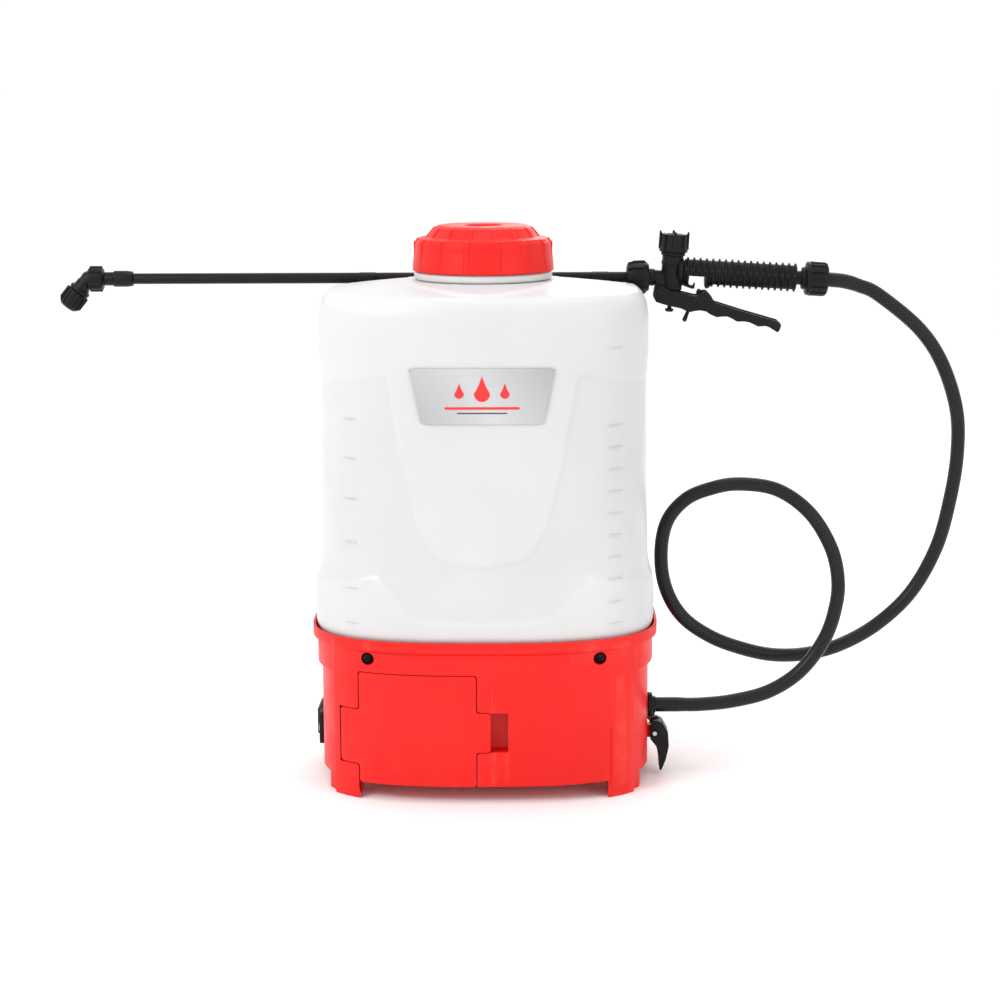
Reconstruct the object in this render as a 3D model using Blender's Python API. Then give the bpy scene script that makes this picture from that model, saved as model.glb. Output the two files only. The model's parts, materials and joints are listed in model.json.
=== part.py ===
"""Battery knapsack sprayer: a translucent tank on a red pump base, with its spray gun and lance
clipped behind the filler cap and a looped hose down to the base. Front faces -Y, metres, +Z up.
Every piece is laid out from the tank's axis; the empty "sprayer" moves them to the stated origin."""

import math

import bmesh
import bpy
from mathutils import Vector

# ------------------------------------------------------------------ driving dimensions
ORIGIN_SHIFT = Vector((0.0375, -0.0285, 0.0))  # tank axis, seen from the stated origin
GAP = 0.0003  # between faces that rest on each other

WAIST_Y = 0.009  # where the plan is widest
PLAN_DEPTH_LESS = 0.0555  # front and rear reach is the half width less this
FRONT_POWER = 2.8  # superellipse exponents of the bowed front and the nearly flat rear
REAR_POWER = 6.0
PLAN_POINTS = 40

WALL = 0.0028  # red mouldings
RIM_HALF = 0.1590
BAND_HALF = 0.1550
BASE_SIDE_HALF = 0.1510  # side panels, set back from the front panel
RIDGE_X = 0.1360  # upright edge between the front panel and the side panel
RIM_TOP = 0.1480
RIM_LOW = 0.1370
BAND_LOW = 0.1110
SKIRT_LOW = 0.0152  # underside of the base between its feet
FOOT_X = 0.1120  # inner edge of the feet
FOOT_FRONT_Y = -0.0450
FOOT_REAR_Y = 0.0620

TANK_WALL = 0.0025
TANK_FLOOR = 0.1390
TANK_HALF = 0.1497
SHOULDER_Z = 0.4530
NECK_FOOT_Z = 0.4625
NECK_TOP_Z = 0.4940
NECK_R = 0.0590
FLANGE_TOP_Z = 0.4950  # top of the strainer's flange, which rests on the neck's rim
LEDGE_Y = 0.0655  # behind this the shoulder drops so that the lance lies low
LEDGE_DROP = 0.0110

DOOR_LEFT, DOOR_RIGHT, DOOR_TOP = -0.1126, -0.0067, 0.1170
HINGE_TAB = (-0.1300, 0.0320, 0.0820)  # outer x, low z, high z
LATCH_TAB = (0.0060, 0.0470, 0.0830)
RECESS_RIGHT = 0.0220
HINGE_X, HINGE_Y = -0.1262, -0.0680
DOOR_GAP = 0.0008
SCREW_X, SCREW_Z = 0.1040, 0.1300  # the two front screws

CAP_LOW, CAP_TOP = 0.4705, 0.5110
CAP_RIBS = 14

LANCE_Y, LANCE_Z = 0.0750, 0.4571
LANCE_R = 0.0050
LANCE_LEFT, LANCE_RIGHT = -0.3290, 0.1500
ELBOW_X = -0.3713
NOZZLE_TILT = math.radians(51.2)  # below the horizontal
GUN_ORIGIN = Vector((0.1540, LANCE_Y, LANCE_Z))
GUN_TILT = math.radians(3.6)
GRIP_W = 0.0075  # grip axis above the lance axis, square to it
VALVE_U = 0.0207  # valve axis along the gun
LEVER_U, LEVER_W = 0.0117, -0.0126  # lever pivot
PAWL_U, PAWL_W = 0.0430, -0.0200
LEVER_INNER, LEVER_OUTER = 0.0110, 0.0135

HOSE_R = 0.0065
HOSE_STEP = 0.0260
OUTLET_Y, OUTLET_Z = 0.0040, 0.0640
PUMP_Y = 0.0170
PIN_X, PIN_Z = 0.1575, 0.0400  # the right strap hook's pin lies along Y at this x
LEFT_PIN_Y = 0.0130  # the left hook lies flat against the wall, with its pin along X
WEBBING_HALF = 0.1582  # plan that the lower webbing follows round the base

ALONG_X = (0.0, math.pi / 2, 0.0)
TOWARDS_FRONT = (math.pi / 2, 0.0, 0.0)
TOWARDS_REAR = (-math.pi / 2, 0.0, 0.0)

FINISHES = {  # colour, roughness, metallic, alpha
    "tank_plastic": ((0.86, 0.87, 0.86), 0.38, 0.0, 0.85),
    "red_plastic": ((0.70, 0.02, 0.02), 0.35, 0.0, 1.0),
    "black_plastic": ((0.02, 0.02, 0.022), 0.45, 0.0, 1.0),
    "hose_rubber": ((0.03, 0.03, 0.032), 0.4, 0.0, 1.0),
    "grip_rubber": ((0.025, 0.025, 0.025), 0.6, 0.0, 1.0),
    "seal_rubber": ((0.03, 0.03, 0.03), 0.7, 0.0, 1.0),
    "steel": ((0.60, 0.61, 0.62), 0.3, 1.0, 1.0),
    "brass": ((0.72, 0.55, 0.26), 0.35, 1.0, 1.0),
    "label_film": ((0.45, 0.46, 0.47), 0.35, 0.0, 1.0),
    "circuit_board": ((0.03, 0.20, 0.08), 0.5, 0.0, 1.0),
    "strap_fabric": ((0.03, 0.03, 0.035), 0.9, 0.0, 1.0),
    "webbing": ((0.02, 0.02, 0.02), 0.85, 0.0, 1.0),
    "strainer_mesh": ((0.80, 0.80, 0.78), 0.5, 0.0, 1.0),
}


# ------------------------------------------------------------------ making pieces
def clear_scene():
    for obj in list(bpy.data.objects):
        bpy.data.objects.remove(obj, do_unlink=True)


def material(slot):
    found = bpy.data.materials.get(slot)
    if found:
        return found
    colour, roughness, metallic, alpha = FINISHES[slot]
    made = bpy.data.materials.new(slot)
    made.use_nodes = True
    shader = made.node_tree.nodes["Principled BSDF"]
    shader.inputs["Base Color"].default_value = (*colour, 1.0)
    shader.inputs["Roughness"].default_value = roughness
    shader.inputs["Metallic"].default_value = metallic
    shader.inputs["Alpha"].default_value = alpha
    return made


def empty(name, parent, at, turn=(0.0, 0.0, 0.0)):
    obj = bpy.data.objects.new(name, None)
    bpy.context.collection.objects.link(obj)
    obj.parent = parent
    obj.location = at
    obj.rotation_euler = turn
    return obj


def piece(name, bm, slot, parent, at=(0.0, 0.0, 0.0), turn=(0.0, 0.0, 0.0)):
    """One named sub-part. Its origin is at, so a moving piece is given its joint there."""
    bmesh.ops.recalc_face_normals(bm, faces=bm.faces)
    mesh = bpy.data.meshes.new(name)
    bm.to_mesh(mesh)
    bm.free()
    mesh.materials.append(material(slot))
    mesh.shade_smooth()
    mesh.set_sharp_from_angle(angle=math.radians(35))
    obj = bpy.data.objects.new(name, mesh)
    bpy.context.collection.objects.link(obj)
    obj.parent = parent
    obj.location = at
    obj.rotation_euler = turn
    return obj


def combine(target, operation, bm, at=(0.0, 0.0, 0.0), turn=(0.0, 0.0, 0.0)):
    """Joins a hidden helper, placed in the target's own space, to the target, or cuts it away."""
    name = f"{target.name}_{operation.lower()}_{len(target.modifiers)}"
    helper = piece(name, bm, target.active_material.name, target, at, turn)
    helper.hide_render = True
    helper.display_type = "WIRE"
    boolean = target.modifiers.new(name, "BOOLEAN")
    boolean.operation = operation
    boolean.object = helper
    return helper


def join(target, bm, at=(0.0, 0.0, 0.0), turn=(0.0, 0.0, 0.0)):
    return combine(target, "UNION", bm, at, turn)


def carve(target, bm, at=(0.0, 0.0, 0.0), turn=(0.0, 0.0, 0.0)):
    return combine(target, "DIFFERENCE", bm, at, turn)


def soften(obj, width, segments=2):
    bevel = obj.modifiers.new("soft_edges", "BEVEL")
    bevel.width = width
    bevel.segments = segments
    bevel.limit_method = "ANGLE"
    bevel.angle_limit = math.radians(40)


def loft(rings, loop=False):
    """A closed body through rings of equal count. A loop joins last to first; otherwise the ends are capped."""
    bm = bmesh.new()
    rows = [[bm.verts.new(point) for point in ring] for ring in rings]
    pairs = list(zip(rows, rows[1:]))
    if loop:
        pairs.append((rows[-1], rows[0]))
    for low, high in pairs:
        for i in range(len(low)):
            after = (i + 1) % len(low)
            bm.faces.new((low[i], low[after], high[after], high[i]))
    if not loop:
        bm.faces.new(rows[0][::-1])
        bm.faces.new(rows[-1])
    return bm


def circle(radius, height, steps):
    turns = [2 * math.pi * i / steps for i in range(steps)]
    return [Vector((radius * math.cos(t), radius * math.sin(t), height)) for t in turns]


def turned(profile, steps=20, loop=False):
    """A round body about +Z from (radius, height) points. A loop profile leaves a bore."""
    return loft([circle(radius, height, steps) for radius, height in profile], loop)


def rod(radius, low, high, steps=16):
    return turned([(radius, low), (radius, high)], steps)


def tube(outer, inner, low, high, steps=24):
    return turned([(outer, low), (outer, high), (inner, high), (inner, low)], steps, loop=True)


def ribbed(profile, steps, every, depth):
    """Rings of a round body; those marked True stand out by depth at every given step."""
    rings = []
    for radius, height, rib in profile:
        ring = circle(radius, height, steps)
        if rib:
            for i in range(0, steps, every):
                ring[i] *= (radius + depth) / radius
                ring[i].z = height
        rings.append(ring)
    return rings


def slab(outline, low, high, axis="Z"):
    """A straight extrusion of a 2-D outline along an axis; the outline's plane is the other two in order."""
    place = {
        "X": lambda a, b, c: (c, a, b),
        "Y": lambda a, b, c: (a, c, b),
        "Z": lambda a, b, c: (a, b, c),
    }[axis]
    return loft([[Vector(place(a, b, c)) for a, b in outline] for c in (low, high)])


def block(low, high):
    corners = [(low[0], low[1]), (high[0], low[1]), (high[0], high[1]), (low[0], high[1])]
    return slab(corners, low[2], high[2])


def rounded(corners, radius, steps=4):
    """An outline with its corners rounded, each by an arc tangent to both sides."""
    outline = []
    for i, corner in enumerate(corners):
        here = Vector(corner)
        before = (Vector(corners[i - 1]) - here).normalized()
        after = (Vector(corners[(i + 1) % len(corners)]) - here).normalized()
        half = before.angle(after) / 2
        centre = here + (before + after).normalized() * radius / math.sin(half)
        start = here + before * radius / math.tan(half) - centre
        end = here + after * radius / math.tan(half) - centre
        for k in range(steps + 1):
            outline.append(tuple(centre + start.lerp(end, k / steps).normalized() * radius))
    return outline


def smooth_path(route, step):
    """Points at an even spacing along a smooth curve through the route's points."""
    fine = []
    padded = [route[0] * 2 - route[1], *route, route[-1] * 2 - route[-2]]
    for a, b, c, d in zip(padded, padded[1:], padded[2:], padded[3:]):
        for k in range(16):
            t = k / 16
            fine.append(
                0.5 * (2 * b + (c - a) * t + (2 * a - 5 * b + 4 * c - d) * t**2
                       + (3 * b - a - 3 * c + d) * t**3)
            )
    fine.append(route[-1])
    reach = [0.0]
    for a, b in zip(fine, fine[1:]):
        reach.append(reach[-1] + (b - a).length)
    count = max(2, round(reach[-1] / step))
    points, at = [], 0
    for k in range(count + 1):
        wanted = reach[-1] * k / count
        while at < len(fine) - 2 and reach[at + 1] < wanted:
            at += 1
        share = (wanted - reach[at]) / (reach[at + 1] - reach[at])
        points.append(fine[at].lerp(fine[at + 1], min(1.0, share)))
    return points


def flexible(name, route, radius, slot, parent, step=HOSE_STEP, sides=3):
    """A hose: a filled tube along a smooth curve through its route."""
    curve = bpy.data.curves.new(name, "CURVE")
    curve.dimensions = "3D"
    curve.bevel_depth = radius
    curve.bevel_resolution = sides
    curve.use_fill_caps = True
    points = smooth_path([Vector(point) for point in route], step)
    spline = curve.splines.new("POLY")
    spline.points.add(len(points) - 1)
    for knot, point in zip(spline.points, points):
        knot.co = (*point, 1.0)
    curve.materials.append(material(slot))
    obj = bpy.data.objects.new(name, curve)
    bpy.context.collection.objects.link(obj)
    obj.parent = parent
    return obj


def ribbon(route, width, thickness, across, step=0.02):
    """A flat strap along a route; across is the direction of its width."""
    points = smooth_path([Vector(point) for point in route], step)
    rings = []
    for i, point in enumerate(points):
        along = (points[min(i + 1, len(points) - 1)] - points[max(i - 1, 0)]).normalized()
        face = along.cross(Vector(across)).normalized() * thickness / 2
        side = face.cross(along).normalized() * width / 2
        rings.append([point + side + face, point - side + face, point - side - face, point + side - face])
    return loft(rings)


# ------------------------------------------------------------------ plan outlines
def plan(half_width, height, front_power=FRONT_POWER, rear_power=REAR_POWER, reach=None, waist=WAIST_Y):
    """The D-shaped outline that the tank and the base share."""
    depth = half_width - PLAN_DEPTH_LESS if reach is None else reach
    ring = []
    for i in range(PLAN_POINTS):
        turn = 2 * math.pi * i / PLAN_POINTS
        across, along = math.cos(turn), math.sin(turn)
        power = rear_power if along >= 0 else front_power
        side = depth - waist if along >= 0 else depth + waist
        ring.append(
            Vector((
                math.copysign(half_width * abs(across) ** (2 / power), across),
                waist + math.copysign(side * abs(along) ** (2 / power), along),
                height,
            ))
        )
    return ring


def panelled(front_half, side_half, height):
    """The base's outline below its band: the side panels sit back from the front and rear panels."""
    proud, back = plan(front_half, height), plan(side_half, height)
    return [a if abs(a.x) < RIDGE_X else b for a, b in zip(proud, back)]


# ------------------------------------------------------------------ the tank
def shoulder_height(point, height):
    start = LEDGE_Y - 0.0100 - 0.15 * max(0.0, abs(point.x) - 0.1100)
    behind = min(1.0, max(0.0, (point.y - start) / 0.0090))
    return height - LEDGE_DROP * behind * behind * (3 - 2 * behind)


def shoulder_ring(share, inset, drop):
    """A ring of the shoulder, from the tank's plan (share 0) to the round neck (share 1)."""
    edge_half, neck = 0.1390 - inset, NECK_R - inset
    half = edge_half + (neck - edge_half) * share
    edge_reach = edge_half - PLAN_DEPTH_LESS
    ring = plan(
        half,
        SHOULDER_Z + (NECK_FOOT_Z - SHOULDER_Z) * share - drop,
        FRONT_POWER + (2.0 - FRONT_POWER) * share,
        REAR_POWER + (2.0 - REAR_POWER) * share,
        edge_reach + (neck - edge_reach) * share,
        WAIST_Y * (1 - share),
    )
    for point in ring:
        point.z = shoulder_height(point, point.z)
    return ring


def ledged(ring):
    for point in ring:
        point.z = shoulder_height(point, point.z)
    return ring


def make_tank(frame):
    outer = [
        plan(0.1420, TANK_FLOOR), plan(0.1490, TANK_FLOOR + 0.0015), plan(0.1520, TANK_FLOOR + 0.0045),
        plan(0.1553, 0.1490), plan(0.1562, 0.1640), plan(0.1553, 0.1870), plan(0.1516, 0.2090),
        plan(0.1497, 0.2900), plan(0.1486, 0.3850), plan(0.1496, 0.3960), plan(TANK_HALF, 0.4300),
        ledged(plan(0.1486, 0.4400)), ledged(plan(0.1456, 0.4480)),
        *[shoulder_ring(share, 0.0, 0.0) for share in (0.0, 0.3, 0.65, 1.0)],
    ]
    neck = [
        (0.0625, 0.4640), (0.0625, 0.4690), (NECK_R, 0.4700), (NECK_R, NECK_TOP_Z),
        (NECK_R - TANK_WALL, NECK_TOP_Z), (NECK_R - TANK_WALL, 0.4700),
    ]
    inner = [
        *[shoulder_ring(share, TANK_WALL, TANK_WALL) for share in (1.0, 0.5, 0.0)],
        ledged(plan(0.1440, 0.4420)), ledged(plan(0.1470, 0.4280)), plan(0.1461, 0.3850),
        plan(0.1475, 0.2600), plan(0.1530, 0.1850), plan(0.1500, TANK_FLOOR + 0.0050),
        plan(0.1400, TANK_FLOOR + TANK_WALL),
    ]
    rings = outer + [circle(r, z, PLAN_POINTS) for r, z in neck] + inner
    tank = piece("tank", loft(rings), "tank_plastic", frame)
    for side in (-1, 1):  # lugs that the front screws bite into
        lug_x = SCREW_X * side
        lug = block((lug_x - 0.007, -0.0790, 0.1235), (lug_x + 0.007, -0.0640, TANK_FLOOR + 0.0012))
        join(tank, lug)
        carve(tank, rod(0.0022, 0.0, 0.012), (lug_x, -0.0680, SCREW_Z), TOWARDS_FRONT)
    carve(tank, rod(0.0083, -0.006, 0.006), (-0.0300, 0.0300, TANK_FLOOR))


def make_cap(frame):
    outer = [
        (0.0636, CAP_LOW, False), (0.0638, CAP_LOW + 0.0015, True), (0.0600, 0.4965, True),
        (0.0580, 0.5000, False), (0.0500, 0.5015, True), (0.0430, 0.5095, False), (0.0397, CAP_TOP, False),
        (0.0178, CAP_TOP, False), (0.0165, CAP_TOP - 0.0018, False),
    ]
    inner = [(0.0165, 0.5056), (0.0380, 0.5070), (0.0470, 0.4990), (0.0612, 0.4968), (0.0612, CAP_LOW)]
    top = ribbed(outer, CAP_RIBS * 2, 2, 0.0012)
    below = [circle(r, z, CAP_RIBS * 2) for r, z in inner]
    # The cap is one cup: down the inside to its crown, then over the crown to the rim.
    rings = [top[-1], *reversed(top[:-1]), *reversed(below[1:])]
    piece("tank_cap", loft(rings + [below[0]]), "red_plastic", frame)
    gasket = tube(0.0585, 0.0550, FLANGE_TOP_Z + GAP, FLANGE_TOP_Z + 0.0019)
    piece("cap_gasket", gasket, "seal_rubber", frame)
    breather = [(0.0090, 0.4985), (0.0090, 0.5052), (0.0060, 0.5052), (0.0060, 0.4985)]
    piece("cap_breather", turned(breather[::-1], 12, loop=True), "black_plastic", frame)


def make_strainer(frame):
    """A filler basket hung on the neck's rim by its flange, open at the top."""
    profile = [
        (0.0100, 0.4000), (0.0495, 0.4000), (0.0552, 0.4900), (0.0552, NECK_TOP_Z + GAP),
        (0.0585, NECK_TOP_Z + GAP), (0.0585, FLANGE_TOP_Z), (0.0540, FLANGE_TOP_Z),
        (0.0475, 0.4020), (0.0100, 0.4020),
    ]
    piece("filler_strainer", turned(profile, 28), "strainer_mesh", frame)


def make_label(frame):
    """The front label: a trapezoid of thick film that follows the tank's bow."""
    half_top, half_low, low, high = 0.0638, 0.0538, 0.3430, 0.3920
    columns, rows = 12, 2
    bm = bmesh.new()

    def corner(column, row, lift):
        height = low + (high - low) * row / rows
        half = half_low + (half_top - half_low) * row / rows
        across = half * (2 * column / columns - 1)
        tank_half = 0.1490
        reach = tank_half - PLAN_DEPTH_LESS + WAIST_Y
        bow = (1 - abs(across / tank_half) ** FRONT_POWER) ** (1 / FRONT_POWER)
        return bm.verts.new((across, WAIST_Y - reach * bow - lift, height))

    back = [[corner(c, r, 0.0010) for c in range(columns + 1)] for r in range(rows + 1)]
    face = [[corner(c, r, 0.0018) for c in range(columns + 1)] for r in range(rows + 1)]
    for r in range(rows):
        for c in range(columns):
            bm.faces.new((face[r][c], face[r][c + 1], face[r + 1][c + 1], face[r + 1][c]))
            bm.faces.new((back[r][c], back[r + 1][c], back[r + 1][c + 1], back[r][c + 1]))
    rim = (
        [(0, c) for c in range(columns)] + [(r, columns) for r in range(rows)]
        + [(rows, c) for c in range(columns, 0, -1)] + [(r, 0) for r in range(rows, 0, -1)]
    )
    for (r, c), (s, d) in zip(rim, rim[1:] + rim[:1]):
        bm.faces.new((back[r][c], back[s][d], face[s][d], face[r][c]))
    piece("front_label", bm, "label_film", frame)


# ------------------------------------------------------------------ the base
def base_shell(low, high, grow=0.0):
    """The base's wall between two heights; grow widens it both ways, for a cutter."""
    outer = [panelled(BAND_HALF + grow, BASE_SIDE_HALF + grow, z) for z in (low, high)]
    inner = [
        panelled(BAND_HALF - WALL - grow, BASE_SIDE_HALF - WALL - grow, z) for z in (high, low)
    ]
    return loft(outer + inner, loop=True)


def door_outline(grow):
    """The battery door seen from the front, with its hinge tab and its latch tab."""
    left, right, top = DOOR_LEFT - grow, DOOR_RIGHT + grow, DOOR_TOP + grow
    hinge, hinge_low, hinge_high = HINGE_TAB[0] - grow, HINGE_TAB[1] - grow, HINGE_TAB[2] + grow
    latch, latch_low, latch_high = LATCH_TAB[0] + grow, LATCH_TAB[1] - grow, LATCH_TAB[2] + grow
    low = SKIRT_LOW - (0.01 if grow else 0.0)
    corner = 0.005
    return [
        (left, low), (right, low), (right, latch_low), (latch, latch_low), (latch, latch_high),
        (right, latch_high), (right, top - corner), (right - corner * 0.3, top - corner * 0.3),
        (right - corner, top), (left + corner, top), (left + corner * 0.3, top - corner * 0.3),
        (left, top - corner), (left, hinge_high), (hinge, hinge_high), (hinge, hinge_low),
        (left, hinge_low),
    ]


def make_base(frame):
    outer = [
        panelled(BAND_HALF, BASE_SIDE_HALF, 0.0), panelled(BAND_HALF, BASE_SIDE_HALF, BAND_LOW),
        plan(BAND_HALF, BAND_LOW + 0.0020), plan(BAND_HALF, RIM_LOW - 0.0005),
        plan(RIM_HALF, RIM_LOW + 0.0015), plan(RIM_HALF, RIM_TOP),
    ]
    inner = [
        plan(RIM_HALF - WALL, RIM_TOP), plan(RIM_HALF - WALL, 0.1430),
        plan(0.1528, TANK_FLOOR - GAP), plan(0.1380, TANK_FLOOR - GAP), plan(0.1380, 0.1355),
        plan(BASE_SIDE_HALF - WALL, 0.1255),
        panelled(BAND_HALF - WALL, BASE_SIDE_HALF - WALL, BAND_LOW - 0.0030),
        panelled(BAND_HALF - WALL, BASE_SIDE_HALF - WALL, 0.0),
    ]
    base = piece("base_housing", loft(outer + inner, loop=True), "red_plastic", frame)
    for side in (-1, 1):
        lug_x = SCREW_X * side
        room = block((lug_x - 0.0075, -0.0800, 0.1200), (lug_x + 0.0075, -0.0600, TANK_FLOOR + 0.005))
        carve(base, room)
        carve(base, rod(0.0058, 0.0, 0.0110), (lug_x, -0.0790, SCREW_Z), TOWARDS_FRONT)
    join(base, block((0.1480, -0.0020, PIN_Z - 0.0060), (0.1610, 0.0060, PIN_Z + 0.0060)))  # right hook's lug
    carve(base, rod(0.0023, -0.0100, 0.0150), (PIN_X, 0.0, PIN_Z), TOWARDS_REAR)
    carve(base, rod(0.0023, -0.1600, -0.1400), (0.0, LEFT_PIN_Y, PIN_Z), ALONG_X)
    carve(base, block((-FOOT_X, -0.13, -0.01), (FOOT_X, 0.13, SKIRT_LOW)))
    carve(base, block((-0.17, FOOT_FRONT_Y, -0.01), (0.17, FOOT_REAR_Y, SKIRT_LOW)))
    carve(base, slab(door_outline(DOOR_GAP), -0.1200, HINGE_Y + 0.0080, "Y"))
    carve(base, block((0.0, -0.1200, LATCH_TAB[1]), (RECESS_RIGHT, -0.0800, LATCH_TAB[2])))
    knuckle_gap = DOOR_GAP + 0.0001
    for low, high in ((0.0240, HINGE_TAB[1] - knuckle_gap), (HINGE_TAB[2] + knuckle_gap, 0.0900)):
        join(base, rod(0.0025, low, high, 16), (HINGE_X, HINGE_Y, 0.0))
    carve(base, rod(0.0013, 0.0260, 0.0880, 12), (HINGE_X, HINGE_Y, 0.0))
    carve(base, rod(0.0062, -0.01, 0.02), (0.1400, OUTLET_Y, OUTLET_Z), ALONG_X)
    carve(base, block((-0.0760, 0.0900, 0.0770), (-0.0440, 0.1100, 0.0930)))
    carve(base, rod(0.0072, -0.01, 0.02), (0.0300, 0.0960, 0.0850), TOWARDS_REAR)


def make_tray(frame):
    half = BASE_SIDE_HALF - WALL - 0.0004
    tray = piece("base_tray", loft([plan(half, 0.0), plan(half, 0.0185)]), "red_plastic", frame)
    carve(tray, block((-FOOT_X, -0.13, -0.01), (FOOT_X, 0.13, 0.0160)))
    carve(tray, block((-0.17, FOOT_FRONT_Y, -0.01), (0.17, FOOT_REAR_Y, 0.0160)))


def make_door(hinge):
    """The battery door, cut from the same wall as the base, with a barrel on its hinge line."""
    away = (-HINGE_X, -HINGE_Y, 0.0)
    front = slab(door_outline(0.0), -0.1200, HINGE_Y + 0.0080, "Y")
    door = piece("battery_door", front, "red_plastic", hinge, away)
    combine(door, "INTERSECT", base_shell(0.0, DOOR_TOP + 0.01))
    join(door, rod(0.0024, HINGE_TAB[1] + 0.001, HINGE_TAB[2] - 0.001, 16), (HINGE_X, HINGE_Y, 0.0))
    carve(door, rod(0.0013, 0.02, 0.10, 12), (HINGE_X, HINGE_Y, 0.0))


def make_base_fittings(frame):
    piece("door_hinge_pin", rod(0.0010, 0.0265, 0.0875, 12), "steel", frame, (HINGE_X, HINGE_Y, 0.0))
    cup = piece(
        "latch_pocket",
        block((-0.0040, -0.0960, 0.0415), (0.0275, -0.0780, 0.0885)), "red_plastic", frame,
    )
    carve(cup, block((-0.0015, -0.1000, 0.0465), (RECESS_RIGHT + 0.0005, -0.0805, 0.0835)))
    head = [(0.0045, 0.0), (0.0045, 0.0016), (0.0036, 0.0026)]
    shank = [(0.0019, -0.0120), (0.0019, -0.0005)]
    for side, x in (("left", -SCREW_X), ("right", SCREW_X)):
        screw = piece(
            f"housing_screw_{side}", turned(shank + head, 12), "black_plastic", frame,
            (x, -0.0800, SCREW_Z), TOWARDS_FRONT,
        )
        for turn in (0.0, math.pi / 2):
            carve(screw, block((-0.0028, -0.0005, 0.0014), (0.0028, 0.0005, 0.0040)), turn=(0.0, 0.0, turn))
    flange = [
        (0.0030, -0.0200), (0.0058, -0.0200), (0.0058, 0.0003), (0.0115, 0.0003), (0.0115, 0.0042),
        (0.0078, 0.0050), (0.0078, 0.0075), (0.0030, 0.0075),
    ]
    piece(
        "hose_outlet_gland", turned(flange, 20, loop=True), "black_plastic", frame,
        (BASE_SIDE_HALF, OUTLET_Y, OUTLET_Z), ALONG_X,
    )


def make_pump(frame):
    """Inside the base: battery, pump, its bracket, and the two hoses that join it to the tank and outlet."""
    case = block((-0.1080, -0.0560, 0.0195), (-0.0160, 0.0080, 0.0900))
    soften(piece("battery_pack", case, "black_plastic", frame), 0.004)
    motor = [(0.0110, 0.0), (0.0180, 0.002), (0.0180, 0.056), (0.0060, 0.058), (0.0060, 0.060)]
    piece("pump_motor", turned(motor, 20), "steel", frame, (0.0140, PUMP_Y, 0.0500), ALONG_X)
    pump_box = [(-0.0040, 0.0300), (0.0380, 0.0300), (0.0380, 0.0700), (-0.0040, 0.0700)]
    head = piece("pump_head", slab(rounded(pump_box, 0.006), 0.0745, 0.1080, "X"), "black_plastic", frame)
    join(head, rod(0.0045, -0.002, 0.014, 20), (0.0900, PUMP_Y, 0.0690))
    join(head, rod(0.0045, -0.002, 0.012, 20), (0.1070, OUTLET_Y, OUTLET_Z), ALONG_X)
    cradle = [
        (-0.0100, 0.0188), (0.0440, 0.0188), (0.0440, 0.0380), (0.0410, 0.0380), (0.0320, 0.0220),
        (0.0020, 0.0220), (-0.0070, 0.0380), (-0.0100, 0.0380),
    ]
    piece("pump_bracket", slab(cradle, 0.0200, 0.0640, "X"), "steel", frame)
    fitting = [
        (0.0035, -0.0200), (0.0060, -0.0200), (0.0060, -0.0045), (0.0130, -0.0045), (0.0130, -0.0003),
        (0.0080, -0.0003), (0.0080, 0.0060), (0.0035, 0.0060),
    ]
    piece(
        "tank_outlet_fitting", turned(fitting, 12, loop=True), "black_plastic", frame,
        (-0.0300, 0.0300, TANK_FLOOR),
    )
    suction = [
        (-0.0300, 0.0300, 0.1187), (-0.0300, 0.0300, 0.1120), (-0.0230, 0.0290, 0.1030),
        (0.0100, 0.0250, 0.0985), (0.0500, 0.0200, 0.0990), (0.0780, 0.0175, 0.0990),
        (0.0900, PUMP_Y, 0.0900), (0.0900, PUMP_Y, 0.0836),
    ]
    flexible("suction_hose", suction, 0.0055, "hose_rubber", frame, 0.008, 2)
    delivery = [(x, OUTLET_Y, OUTLET_Z) for x in (0.1193, 0.1225, 0.1275, 0.1307)]
    flexible("delivery_hose", delivery, 0.0050, "hose_rubber", frame, 0.006, 2)


def make_electrics(frame):
    """The rocker switch and the covered charging socket on the base's rear, and the board inside."""
    board = block((-0.0900, 0.0700, 0.0300), (0.0000, 0.0716, 0.0650))
    piece("control_board", board, "circuit_board", frame)
    frame_corners = [(-0.0755, 0.0775), (-0.0445, 0.0775), (-0.0445, 0.0925), (-0.0755, 0.0925)]
    surround = slab(rounded(frame_corners, 0.002), 0.0850, 0.1010, "Y")
    bezel = piece("switch_bezel", surround, "black_plastic", frame)
    carve(bezel, block((-0.0730, 0.0870, 0.0800), (-0.0470, 0.1100, 0.0900)))
    rocker = [
        (-0.0120, 0.0015), (0.0, 0.0022), (0.0120, 0.0045), (0.0120, -0.0060), (-0.0120, -0.0060),
    ]
    switch = empty("switch_pivot", frame, (-0.0600, 0.0985, 0.0850))
    piece("power_switch", slab(rocker, -0.0045, 0.0045), "red_plastic", switch)
    socket = turned([
        (0.0028, -0.0100), (0.0068, -0.0100), (0.0068, 0.0038), (0.0100, 0.0038), (0.0100, 0.0052),
        (0.0028, 0.0052),
    ], 16, loop=True)
    piece("charge_socket", socket, "black_plastic", frame, (0.0300, 0.0960, 0.0850), TOWARDS_REAR)
    cover_hinge = empty("charge_cover_hinge", frame, (0.0300, 0.1030, 0.0990))
    disc = rod(0.0105, 0.0, 0.0022, 20)
    cover = piece("charge_cover", disc, "seal_rubber", cover_hinge, (0.0, -0.0014, -0.0140), TOWARDS_REAR)
    join(cover, block((-0.0050, -0.0155, 0.0), (0.0050, -0.0070, 0.0022)))


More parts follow.
